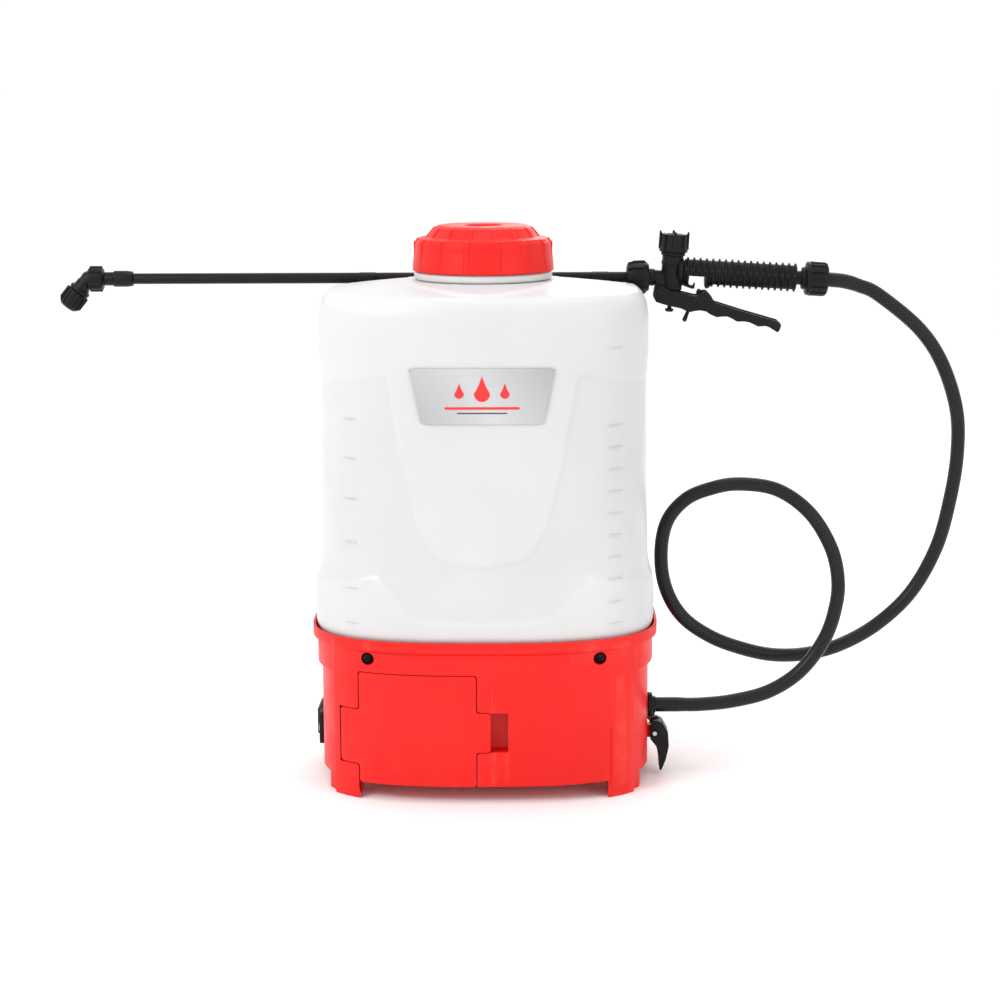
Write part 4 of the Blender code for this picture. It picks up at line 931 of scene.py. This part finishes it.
def make_base():
    rings = [
        panelled(BAND_HALF, BASE_SIDE_HALF, 0.0), panelled(BAND_HALF, BASE_SIDE_HALF, BAND_LOW),
        panelled(BAND_HALF, BAND_HALF, BAND_LOW + 0.0026), panelled(BAND_HALF, BAND_HALF, RIM_LOW - 0.0010),
        panelled(RIM_HALF, RIM_HALF, RIM_LOW + 0.0016), panelled(RIM_HALF, RIM_HALF, RIM_TOP),
    ]
    lip, seat = RIM_HALF - 0.0022, TANK_FLOOR - 0.0003
    inner = [
        panelled(lip, lip, RIM_TOP), panelled(lip - 0.0010, lip - 0.0010, 0.1430),
        panelled(0.1528, 0.1528, seat),
        panelled(0.1400, 0.1400, seat), panelled(0.1400, 0.1400, 0.1355),
        panelled(BASE_SIDE_HALF - WALL, BASE_SIDE_HALF - WALL, 0.1255),
        panelled(BAND_HALF - WALL, BASE_SIDE_HALF - WALL, BAND_LOW - 0.0030),
        panelled(BAND_HALF - WALL, BASE_SIDE_HALF - WALL, 0.0),
    ]
    steps = []
    for side in (-1, 1):
        lug_x = SCREW_X * side
        steps.append(cut(block((lug_x - 0.0075, -0.0800, 0.1200), (lug_x + 0.0075, -0.0600, 0.1450))))
        steps.append(cut(rod(0.0058, 0.0, 0.0110), shift((lug_x, -0.0790, SCREW_Z)) @ TO_FRONT))
    steps += [
        join(block((0.1480, -0.0020, PIN_Z - 0.0060), (0.1610, 0.0060, PIN_Z + 0.0060))),
        cut(rod(0.0023, -0.0100, 0.0150), shift((PIN_X, 0.0, PIN_Z)) @ TO_REAR),
        cut(rod(0.0023, -0.1600, -0.1400), shift((0.0, LEFT_PIN_Y, PIN_Z)) @ ALONG_X),
        cut(block((-FOOT_X, -0.13, -0.01), (FOOT_X, 0.13, SKIRT_LOW))),
        cut(block((-0.17, FOOT_FRONT_Y, -0.01), (0.17, FOOT_REAR_Y, SKIRT_LOW))),
        cut(slab(door_outline(DOOR_GAP), -0.1200, HINGE_Y + 0.0080, "Y")),
        cut(hinge_room()),
        cut(block((0.0, -0.1200, LATCH_TAB[1]), (RECESS_RIGHT, -0.0800, LATCH_TAB[2]))),
        cut(rod(0.0062, -0.01, 0.02), shift((0.1400, OUTLET_Y, OUTLET_Z)) @ ALONG_X),
        cut(block((-0.0760, 0.0900, 0.0770), (-0.0440, 0.1100, 0.0930))),
        cut(rod(0.0072, -0.01, 0.02), shift((0.0300, 0.0960, 0.0850)) @ TO_REAR),
        cut(front_step()),
    ]
    for low, high in ((0.0240, HINGE_TAB[1] - DOOR_GAP - 0.0001), (HINGE_TAB[2] + DOOR_GAP + 0.0001, 0.0900)):
        steps.append(join(rod(0.0025, low, high, 24), shift((HINGE_X, HINGE_Y, 0.0))))
    steps.append(cut(rod(0.0013, 0.0260, 0.0880, 12), shift((HINGE_X, HINGE_Y, 0.0))))
    mesh = carved(loft(rings + inner, loop=True), steps)
    settle("base_shell", mesh, "red_plastic", "machine", FRAME, ("base_housing",), 0.0005, 35)


def hinge_room():
    """Squares the opening's corners beside the hinge, which rounded ones would foul as the door swings."""
    room = DOOR_GAP + 0.0001
    low = (HINGE_TAB[0] - room, -0.1200, HINGE_TAB[1] - room)
    return block(low, (HINGE_X, HINGE_Y + 0.0079, HINGE_TAB[2] + room))


def front_step():
    """A cutter for the shallow panel pressed into the front, to the right of the latch recess."""
    outline = eased([
        (8.5, 116), (65, 116.5), (70, 109), (75.2, 76), (81.5, 66.8), (115, 65.5), (115, 10), (8.5, 10),
    ], 3, closed=True)
    outer, depth = 0.02, 0.0009
    shell = [panelled(BAND_HALF + outer, BASE_SIDE_HALF + outer, z) for z in (0.0050, 0.1300)]
    shell += [panelled(BAND_HALF - depth, BASE_SIDE_HALF - depth, z) for z in (0.1300, 0.0050)]
    mesh = carved(loft(shell, loop=True), [both(slab(outline, -0.1300, -0.0400, "Y"))])
    bm = bmesh.new()
    bm.from_mesh(mesh)
    return bm


def make_door():
    barrel = rod(0.0024, HINGE_TAB[1] + 0.001, HINGE_TAB[2] - 0.001, 24)
    hinge = shift((HINGE_X, HINGE_Y, 0.0))
    mesh = carved(slab(door_outline(0.0), -0.1200, HINGE_Y + 0.0080, "Y"), [
        both(base_wall(0.0, DOOR_TOP + 0.01)),
        join(barrel, hinge),
        cut(rod(0.0013, 0.02, 0.10, 12), hinge),
    ])
    settle("battery_hatch", mesh, "red_plastic", "door", FRAME, ("battery_door",), 0.0005, 35)


def make_screws():
    head = eased([(4.5, 0), (4.6, 1), (4, 2.2), (2.2, 2.9), (0.2, 3)], 0.4)
    shank = [(0.0002, -0.0120), (0.0017, -0.0120)]
    shank += [(0.0017 + 0.0002 * (k % 2), -0.0115 + 0.0005 * k) for k in range(22)]
    for side, x in (("left", -SCREW_X), ("right", SCREW_X)):
        place = shift((x, -0.0800, SCREW_Z)) @ TO_FRONT
        slots = []
        for turn in (0.35, 0.35 + math.pi / 2):
            slot = block((-0.0029, -0.00070, 0.0010), (0.0029, 0.00070, 0.0040))
            slots.append(cut(slot, Matrix.Rotation(turn, 4, "Z")))
        mesh = carved(turned(shank + head, 28), slots)
        settle(f"cross_screw_{side}", mesh, "black_plastic", "machine", FRAME @ place,
            (f"housing_screw_{side}",), 0.0, 30)


def make_base_fittings():
    refined("latch_pocket", "red_plastic", "machine", 0.0008)
    flange = eased([
        (3, -20), (5.8, -20), (5.8, 0.3), (11.5, 0.3), (11.5, 4.2), (8.2, 5), (7.8, 7.5), (3, 7.5),
    ], 0.5, closed=True)
    gland = FRAME @ shift((BASE_SIDE_HALF, OUTLET_Y, OUTLET_Z)) @ ALONG_X
    make("outlet_gland", turned(flange, 48, loop=True), "black_plastic", "machine", gland,
        ("hose_outlet_gland",))
    refined("base_tray", "red_plastic", "machine", 0.0010)
    for node in ("switch_bezel", "charge_socket"):
        refined(node, "black_plastic", "machine", 0.0005)
    refined("power_switch", "red_plastic", "switch", 0.0006)
    refined("charge_cover", "seal_rubber", "socket_cover", 0.0005)


def make_battery():
    """The pack behind the door: a case with grooved sides."""
    low, high = (-0.1080, -0.0560, 0.0195), (-0.0160, 0.0080, 0.0900)
    grooves = []
    for k in range(6):
        x = low[0] + 0.0150 + 0.0120 * k
        grooves.append(cut(block((x, -0.0580, 0.0300), (x + 0.0030, -0.0548, 0.0780)), HERE))
    mesh = carved(block(low, high), grooves)
    settle("battery_case", mesh, "black_plastic", "machine", FRAME, ("battery_pack",), 0.0014, 35)


# ------------------------------------------------------------------ lance and nozzle
def make_lance():
    tube = filleted([(0.0036, 0.0), (0.0050, 0.0), (0.0050, LANCE_RIGHT - LANCE_LEFT),
        (0.0036, LANCE_RIGHT - LANCE_LEFT)], 0.0003, closed=True)
    make("lance", turned(tube, 48, loop=True), "black_plastic", "machine", LANCE, ("lance_tube",))
    ferrule = eased([
        (3, -27.5), (6.2, -27.5), (6.4, -19), (7.5, -18), (7.5, -6), (6.8, -0.4), (3, -0.4),
    ], 0.6, closed=True)
    make("lance_socket", turned(ferrule, 48, loop=True), "black_plastic", "machine", LANCE,
        ("lance_ferrule",))
    for side in ("left", "right"):
        refined(f"lance_clip_{side}", "black_plastic", "machine", 0.0006)


def make_nozzle():
    nut = eased([
        (3, 0), (9.2, 0), (10.2, 1), (10.7, 2), (10.7, 12.8), (9.5, 14.1), (7.2, 14.3), (3, 14.3),
    ], 0.5, closed=True)
    lugs = rib_lift(8, 5.0, 2.5, 0.0013, 0.0020, 0.0130)
    turns = rib_turns(8, (5.0, 7.5, 9.0), 4)
    place = SWIVEL @ shift((-0.0001, 0.0, 0.0)) @ ALONG_X
    make("swivel_nut", turned(nut, turns, True, lambda r, z, a: lugs(r, z, a) if r > 0.0100 else 0.0),
         "black_plastic", "nozzle_head", place, ("elbow_nut",))
    elbow = eased([
        (1, 0), (7.2, 0), (7.2, 4), (7.8, 6), (8, 11), (9.8, 12), (10.2, 13.6), (9.6, 14.8), (6.6, 15.1),
        (6.2, 15.6), (6.2, 18.9), (1, 18.9),
    ], 0.6)
    ball = turned([(0.0074 * math.cos(a),
        0.0074 * math.sin(a)) for a in np.radians(np.linspace(-84, 84, 13))], 40)
    trim = block((0.0, -0.02, -0.02), (0.03, 0.02, 0.02))
    back = Matrix.Rotation(math.pi / 2 + NOZZLE_TILT, 4, "Y")
    set_back = shift((0.0004 * math.sin(NOZZLE_TILT), 0.0, 0.0004 * math.cos(NOZZLE_TILT)))
    mesh = carved(turned(elbow, 40), [join(ball, HERE), cut(trim, set_back @ back)])
    settle("nozzle_elbow", mesh, "black_plastic", "nozzle_head", NOZZLE, ("lance_elbow",), 0.0, 35)
    cap = eased([
        (6.6, 15.6), (9.8, 15.6), (10.3, 16.8), (10.3, 28.5), (9.6, 31.2), (8, 32.4), (7.8, 33), (4, 33),
        (3.6, 31.2), (3, 30.8), (3, 29.6), (6.6, 29),
    ], 0.4, closed=True)
    fins = rib_lift(12, 2.4, 1.2, 0.0013, 0.0168, 0.0290)
    make("spray_cap", turned(cap, rib_turns(12, (2.4, 3.6, 5.0), 4), True,
        lambda r, z, a: fins(r, z, a) if r > 0.0100 else 0.0),
         "black_plastic", "spray_cap", NOZZLE, ("nozzle_cap",))
    tip = eased([
        (0.4, 19.4), (5.5, 19.4), (5.5, 24), (2.4, 25), (2.4, 31), (0.6, 31.2), (0.4, 30),
    ], 0.3)
    make("spray_tip", turned(tip, 32), "brass", "nozzle_head", NOZZLE, ("nozzle_tip",))


# ------------------------------------------------------------------ gun
def make_gun():
    barrel = eased([
        (0.4, -11.2), (8.8, -11.2), (9.8, -10), (9.8, 13), (10.4, 13.6), (10.4, 16), (9.8, 16.6),
        (9.8, 21.2), (0.4, 21.2),
    ], 0.4)
    flutes = rib_lift(20, 3.2, 1.8, 0.0007, -0.0095, 0.0120)
    grip_frame = shift((0.0, 0.0, GRIP_W)) @ ALONG_X
    stub = eased([
        (0.4, -2.8), (7.2, -2.8), (8, -2), (8, 4), (7, 5), (7, 14), (0.4, 14),
    ], 0.4)
    collars = eased([
        (0.4, 26.2), (11.2, 26.2), (12.3, 27.4), (12.3, 29.9), (11.2, 31.1), (0.4, 31.1),
    ], 0.3)
    lug = eased([(4.5, -17.5), (18.5, -16), (18.5, -2), (6, -2)], 1.2, closed=True)
    hook = eased([
        (26.2, 2), (35.8, 6), (36.6, -1.5), (37.2, -4.5), (39.7, -5.5), (41.2, -4.8), (41.8, -2.7),
        (42.9, -2.7), (42.6, -8.1), (40, -8.5), (35.9, -7.2), (25.7, -4),
    ], 0.6, closed=True)
    gusset = eased([
        (51.7, 6), (51.7, -5), (53, -7.8), (56, -6.5), (60.4, -1.6), (62.5, 6),
    ], 0.8, closed=True)
    boss = eased([(0.2, -10.6), (4, -10.6), (4, 10.6), (0.2, 10.6)], 0.4)
    steps = [
        cut(block(*GRIP_WINDOW), grip_frame),
        join(slab(hook, -0.0025, 0.0025, "Y")),
        join(slab(gusset, -0.0025, 0.0025, "Y")),
        join(turned(barrel, rib_turns(20, (3.2, 5.0), 1),
            lift=lambda r, z, a: flutes(r, z, a) if r > 0.0097 else 0.0),
         shift((VALVE_U, 0.0, 0.0))),
        join(turned(stub, 40), ALONG_X),
        join(turned(collars, 40), grip_frame),
        join(slab(lug, -0.0070, 0.0070, "Y")),
        join(turned(boss, 24), shift((LEVER_U, 0.0, LEVER_W)) @ TO_FRONT),
        cut(rod(0.0024, -0.0300, 0.0400, 16), shift((VALVE_U, 0.0, 0.0))),
        cut(rod(0.0018, -0.0200, 0.0200, 16), shift((LEVER_U, 0.0, LEVER_W)) @ TO_FRONT),
        cut(rod(0.0053, -0.0100, -0.0001, 24), ALONG_X),
    ]
    core = turned([(0.0065, VALVE_U - 0.004), (0.0065, 0.1590)], 40)
    bmesh.ops.transform(core, matrix=grip_frame, verts=core.verts)
    mesh = carved(core, steps)
    settle("gun_frame", mesh, "black_plastic", "machine", GUN, ("gun_body",), 0.0, 32)

    nut = eased([
        (5.4, -21.4), (9.6, -21.4), (12.2, -19.6), (12.8, -16), (13.6, -15), (14, -5), (13.2, -2),
        (12.4, -0.6), (8.3, -0.6), (8.3, -4), (5.4, -4),
    ], 0.5, closed=True)
    wings = rib_lift(8, 5.5, 2.0, 0.0018, -0.0205, -0.0040)
    make("lance_nut", turned(nut, rib_turns(8, (5.5, 7.5, 9.5), 4), True,
        lambda r, z, a: wings(r, z, a) if r > 0.0115 else 0.0),
         "black_plastic", "machine", FRONT_NUT, ("gun_front_nut",))
    ring = eased([(6, 21.5), (11.2, 21.5), (11.2, 24.4), (6, 24.4)], 0.6, closed=True)
    make("valve_seal", turned(ring, 48, loop=True), "seal_rubber", "machine", VALVE, ("valve_seal_ring",))
    make_valve_cap()
    make_grip()
    collar = eased([
        (7.2, 141.5), (9.8, 141.8), (10.4, 142.8), (10.4, 144.6), (14.6, 145.6), (15.6, 146.6),
        (15.8, 149), (15, 150.2), (14.5, 151.2), (14.5, 162.4), (13.6, 165), (11.8, 166.4), (7.2, 166.4),
    ], 0.5, closed=True)
    ribs = rib_lift(12, 2.6, 1.4, 0.0013, 0.1500, 0.1652)
    make("hose_collar", turned(collar, rib_turns(12, (2.6, 4.0, 5.5), 4), True,
        lambda r, z, a: ribs(r, z, a) if r > 0.0130 else 0.0),
         "black_plastic", "machine", GRIP, ("hose_nut",))


def make_valve_cap():
    """Eight flutes and eight fins; every second fin stands above the cap's top, like a castle."""
    outer = eased([
        (8, 24.7), (12.8, 24.7), (13.2, 25.6), (13.2, 29), (12.2, 30), (11.9, 40.5), (11.2, 41.4),
        (7, 41.4), (6.6, 40), (2, 40), (2, 39.2), (8, 38.8),
    ], 0.4, closed=True)
    fins = rib_lift(8, 4.6, 1.6, 0.0016, 0.0295, 0.0420)
    body = turned(outer, rib_turns(8, (4.6, 6.2, 8.0), 5), True,
        lambda r, z, a: fins(r, z, a) if r > 0.0110 else 0.0)
    steps = []
    for k in range(4):
        fin = eased([
            (10.6, 30), (14.1, 27), (13.9, 43.8), (12.8, 44), (11.6, 41.8),
        ], 0.4, closed=True)
        steps.append(join(slab(fin, -0.0011, 0.0011, "Y"), Matrix.Rotation(TURN * k / 4, 4, "Z")))
    mesh = carved(body, steps)
    settle("valve_cover", mesh, "black_plastic", "machine", VALVE, ("valve_cap",), 0.0, 32)


def make_grip():
    """The ribbed rubber sleeve, with a window beneath for the lock's hook and the gusset."""
    start, pitch, ribs = 0.0320, 0.00591, 18
    profile = [(0.0069, start), (0.0112, start)]
    for i in range(ribs):
        at = start + pitch * i
        profile += [(0.0112, at + 0.0016), (0.0133, at + 0.0025), (0.0134, at + 0.0034),
            (0.0112, at + 0.0043)]
    end = start + pitch * ribs - 0.0020
    profile += [(0.0112, end), (0.0069, end)]
    mesh = carved(turned(filleted(profile, 0.0004, closed=True, steps=2), 56, loop=True), [
        cut(block(*GRIP_WINDOW)),
        cut(block((0.0, -0.0029, 0.0300), (0.0200, 0.0029, 0.0640))),
    ])
    settle("grip_rubber_sleeve", mesh, "grip_rubber", "machine", GRIP, ("grip_sleeve",), 0.0, 40)


def make_lever():
    """The trigger lever: a channel whose sides straddle the gun, with finger waves beneath."""
    upper = mm([
        (6, -12.5), (8, -8), (11.7, -6.8), (15.5, -8.2), (18.5, -10.5), (26.1, -11.1), (44.2, -14.4),
        (47, -13), (50.5, -10), (54, -9.6), (57.5, -12.5), (61.8, -19.1), (90, -26.2), (123.3, -33.7),
    ])
    lower = mm([
        (125.2, -36.5), (123.8, -41.7), (122, -43.5), (114.4, -39.2), (110.4, -38.1), (103.8, -39),
        (95.7, -35.7), (90.4, -35), (83.8, -35.6), (78.3, -32.8), (74.3, -31.4), (70.3, -31.7),
        (64.5, -32.6), (58.4, -30.4), (54.3, -27.9), (48.9, -27.2), (44.3, -27.9), (38.5, -29.6),
        (30.4, -26.3), (23.7, -25.4), (15.7, -23.9), (7, -21.8), (5, -18),
    ])
    inside = mm([
        (0, -20.5), (23.2, -23.4), (30.4, -24), (38.5, -26.8), (44.3, -25.2), (54.3, -25.2), (58.4, -27.4),
        (64.5, -30), (74.3, -28.8), (78.3, -30), (83.8, -33), (95.7, -33), (103.8, -36.4), (110.4, -35.4),
        (119, -38.5), (122.5, -38.5), (122.5, 10), (0, 10),
    ])
    pivot = shift((LEVER_U, 0.0, LEVER_W)) @ TO_FRONT
    outline = filleted(upper + lower, 0.0030, closed=True, steps=4)
    boss = eased([(0.2, -14.3), (4.4, -14.3), (4.4, 14.3), (0.2, 14.3)], 0.4)
    steps = [join(turned(boss, 28), pivot)]
    groove = eased([
        (15, -12.5), (19, -15), (30, -18.5), (44, -20.5), (44, -19.3), (30, -17.2), (19, -13.6),
    ], 0.4, closed=True)
    for side in (-1, 1):
        skin = sorted((side * (LEVER_OUTER - 0.0005), side * (LEVER_OUTER + 0.0030)))
        steps.append(cut(slab(groove, *skin, "Y")))
    steps += [
        cut(slab(inside, -LEVER_INNER, LEVER_INNER, "Y")),
        cut(rod(0.0018, -0.03, 0.03, 16), pivot),
        cut(rod(0.0013, -0.03, 0.03, 16), shift((PAWL_U, 0.0, PAWL_W)) @ TO_FRONT),
        cut(block((VALVE_U - 0.0056, -0.0030, -0.0400), (VALVE_U + 0.0032, 0.0030, -0.0150))),
        cut(block((0.0300, -0.0030, -0.0400), (0.0450, 0.0030, -0.0220))),
    ]
    mesh = carved(slab(outline, -LEVER_OUTER, LEVER_OUTER, "Y"), steps)
    settle("trigger", mesh, "black_plastic", "lever", GUN, ("trigger_lever",), 0.0006, 32)
    refined("lock_pawl", "black_plastic", "pawl", 0.0003)


# ------------------------------------------------------------------ hose
HOSE_ROUTE_MM = [
    (320.9, 75, 454.2), (336, 75, 452.6), (351, 75, 448), (368, 75, 440), (406, 75, 409), (429, 75, 376),
    (444, 75, 332), (446, 74, 290), (440, 72, 246), (428, 70, 200), (405, 69, 157), (373, 67, 126),
    (338, 63, 107),
    (305, 59, 99), (273, 55, 99), (243, 52, 106), (213, 50, 118), (186, 47, 138), (170, 45, 166),
    (165, 42, 199), (170, 38, 231), (187, 34, 253), (210, 30, 264), (236, 26, 269), (271, 23, 264),
    (301, 19, 243), (321, 16, 211), (328, 14, 181), (326, 12, 155), (316, 10, 125), (294, 8, 95),
    (265, 6, 76), (231, 5, 67), (200, 4, 64), (178, 4, 64), (158.9, 4, 64),
]


def swept(name, path, radius_at, sides, slot, body, nodes=()):
    """A round tube along a path, with u in metres along it and v once round it."""
    bm = bmesh.new()
    layer = bm.loops.layers.uv.new("UVMap")
    along = [(path[min(i + 1, len(path) - 1)] - path[max(i - 1, 0)]).normalized() for i in range(len(path))]
    side = along[0].orthogonal().normalized()
    rows, reach = [], [0.0]
    for before, point in zip(path, path[1:]):
        reach.append(reach[-1] + (point - before).length)
    length = reach[-1]
    for point, ahead, at in zip(path, along, reach):
        side = (side - ahead * side.dot(ahead)).normalized()
        other = ahead.cross(side)
        radius = radius_at(at, length)
        rows.append([
            bm.verts.new(point + (side * math.cos(turn) + other * math.sin(turn)) * radius)
            for turn in (TURN * k / sides for k in range(sides))
        ])
    for i in range(len(rows) - 1):
        for k in range(sides):
            after = (k + 1) % sides
            face = bm.faces.new((rows[i][k], rows[i][after], rows[i + 1][after], rows[i + 1][k]))
            corners = ((i, k), (i, k + 1), (i + 1, k + 1), (i + 1, k))
            for loop, (row, column) in zip(face.loops, corners):
                loop[layer].uv = (reach[row], column / sides)
    bm.faces.new(rows[0][::-1])
    bm.faces.new(rows[-1])
    return make(name, bm, slot, body, HERE, nodes, angle=50), length


def make_hose():
    route = [FRAME @ Vector((x / 1000, y / 1000, z / 1000)) for x, y, z in HOSE_ROUTE_MM]
    path = smooth_path(route, 0.0040)

    def swell(at, length):
        """The hose is stretched a little where a barb is pushed into each end."""
        end = min(at, length - at)
        return HOSE_R + 0.0004 * float(1 - smoothstep(np.array((end - 0.020) / 0.008)))

    hose, length = swept("pressure_hose", path, swell, 28, "hose_rubber", "machine", ("spray_hose",))


# ------------------------------------------------------------------ harness
def ribbon(route, width, section, step=0.006, across=Vector((1, 0, 0))):
    """A strap along a route; section is its outline as (share of half width, offset) points."""
    points = smooth_path([Vector(point) for point in route], step)
    rings = []
    for i, point in enumerate(points):
        along = (points[min(i + 1, len(points) - 1)] - points[max(i - 1, 0)]).normalized()
        face = along.cross(across).normalized()
        side = face.cross(along).normalized()
        rings.append([point + side * (share * width / 2) + face * offset for share, offset in section])
    return loft(rings)


def padded_section(thickness, piping):
    """A padded strap across: two crowned halves, a sewn channel near each edge, and bound edges."""
    half = thickness / 2
    top = [
        (1.0, 0.0), (0.985, piping), (0.93, piping), (0.90, half * 0.45), (0.86, half * 0.42),
        (0.80, half * 0.80),
        (0.55, half), (0.25, half * 0.97), (0.0, half * 0.92),
    ]
    front = top + [(-share, offset) for share, offset in reversed(top[1:-1])] + [(-1.0, 0.0)]
    rear = [(share, -offset) for share, offset in reversed(front[1:-1])]
    return front + rear


def inflate(obj, pressure, most):
    """Fills a closed form by cloth simulation, with each point held within a distance of its start."""
    remesh = obj.modifiers.new("even", "REMESH")
    remesh.mode, remesh.voxel_size = "VOXEL", 0.0042
    apply_modifiers(obj)
    start = np.array([vertex.co for vertex in obj.data.vertices])
    cloth = obj.modifiers.new("cloth", "CLOTH")
    cloth.settings.use_pressure = True
    cloth.settings.uniform_pressure_force = pressure
    cloth.settings.effector_weights.gravity = 0.0
    cloth.settings.quality = 4
    cloth.point_cache.frame_start, cloth.point_cache.frame_end = 1, 20
    for step in range(1, 21):
        bpy.context.scene.frame_set(step)
    apply_modifiers(obj)
    bpy.context.scene.frame_set(1)
    moved = np.array([vertex.co for vertex in obj.data.vertices]) - start
    far = np.linalg.norm(moved, axis=1)
    moved *= np.minimum(1.0, most / np.maximum(far, 1e-9))[:, None]
    obj.data.vertices.foreach_set("co", (start + moved).ravel())
    obj.data.update()


def make_back_pad():
    """A foam pad in mesh fabric: five pillows between sewn channels, its back flat against the tank."""
    low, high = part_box("back_pad")
    centre = (low + high) / 2
    half = (high - low) / 2
    inset = 0.0022
    rim = filleted([(-half.x, -half.z), (half.x, -half.z), (half.x, half.z), (-half.x, half.z)], 0.018,
        closed=True, steps=8)
    shrink = [(x * (1 - inset / half.x), z * (1 - inset / half.z)) for x, z in rim]
    front, rear = half.y - 0.0030, -half.y + 0.0010
    layers = [(0.94, rear), (1.0, rear + 0.0020), (1.0, front - 0.0030), (0.94, front)]
    rings = [[(x * share, y, z * share) for x, z in shrink] for share, y in layers]
    pad = make("back_cushion", loft(rings), "strap_fabric", "machine", shift(centre), ("back_pad",), angle=70)
    inflate(pad, 4.0, 0.0040)
    seams, seam_rise = (-0.30, -0.02, 0.26), 0.1925
    edge_seam, seam_depth, seam_width = 0.009, 0.0042, 0.0032
    for vertex in pad.data.vertices:
        offset = vertex.co - centre
        if offset.y < 0:
            continue
        across, up = offset.x / half.x, offset.z / half.z
        lines = [abs(up - seam_rise * abs(across) - seam) * half.z for seam in seams]
        lines.append((1 - max(abs(across), abs(up))) * half.x - edge_seam)
        nearest = min(abs(line) for line in lines)
        vertex.co.y -= seam_depth * math.exp(-((nearest / seam_width) ** 2)) * min(1.0, offset.y / 0.004)
    subdivide = pad.modifiers.new("finer", "SUBSURF")
    subdivide.levels = subdivide.render_levels = 1
    apply_modifiers(pad)
    limit = high.y + 0.004
    for vertex in pad.data.vertices:
        vertex.co.y = min(max(vertex.co.y, low.y - 0.0004), limit)
    pad.data.shade_smooth()


def make_harness():
    make_back_pad()
    refined("strap_bracket", "black_plastic", "machine", 0.0020)
    web = [(1.0, 0.0), (0.97, 0.0009), (0.0, 0.0010), (-0.97, 0.0009), (-1.0, 0.0), (-0.97, -0.0009),
        (0.0, -0.0010), (0.97, -0.0009)]
    for side, name in ((-1, "left"), (1, "right")):
        strap = [
            (side * 0.052, 0.1120, 0.4260), (side * 0.053, 0.1240, 0.4020), (side * 0.056, 0.1400, 0.3600),
            (side * 0.062, 0.1520, 0.3000), (side * 0.068, 0.1560, 0.2400), (side * 0.073, 0.1500, 0.1800),
            (side * 0.077, 0.1340, 0.1200), (side * 0.079, 0.1180, 0.0840), (side * 0.080, 0.1110, 0.0640),
        ]
        padded = make(f"padded_strap_{name}", ribbon(strap, 0.050, padded_section(0.0090, 0.0014)),
            "strap_fabric", "machine",
                      nodes=(f"shoulder_strap_{name}",), angle=60)
        refined(f"strap_buckle_{name}", "black_plastic", "machine", 0.0012)
        refined(f"strap_hook_{name}", "black_plastic", "machine", 0.0010)
        outline = plan(WEBBING_HALF)
        wrap = [(x, y, 0.0430) for x, y in outline if x * side > 0.090 and y > 0.0240]
        wrap.sort(key=lambda point: math.atan2(point[1], point[0] * side))
        wrap = [wrap[round(k * (len(wrap) - 1) / 9)] for k in range(10)]
        wrap.append((side * 0.0640, float(outline[:, 1].max()), 0.0430))
        make(f"webbing_{name}", ribbon(wrap, 0.0240, web, 0.006, Vector((0, 0, 1))), "webbing", "machine",
             nodes=(f"lower_webbing_{name}",), angle=60)


# ------------------------------------------------------------------ assembly
def finish_kept_nodes():
    """Gives every CAD node its slot's finish; those replaced above aren't shown."""
    for entry in frame["record"]["subparts"]:
        node = frame["nodes"][entry["node"]]
        node.data.materials.clear()
        node.data.materials.append(MATERIALS[entry["material_slot"]])
        node.data.shade_smooth()
        node.data.set_sharp_from_angle(angle=math.radians(32))


make_camera()
make_studio()
make_hose()
finish_kept_nodes()
make_tank()
make_level_marks()
make_cap()
make_label()
make_base()
make_door()
make_screws()
make_base_fittings()
make_battery()
make_lance()
make_nozzle()
make_gun()
make_lever()
make_harness()
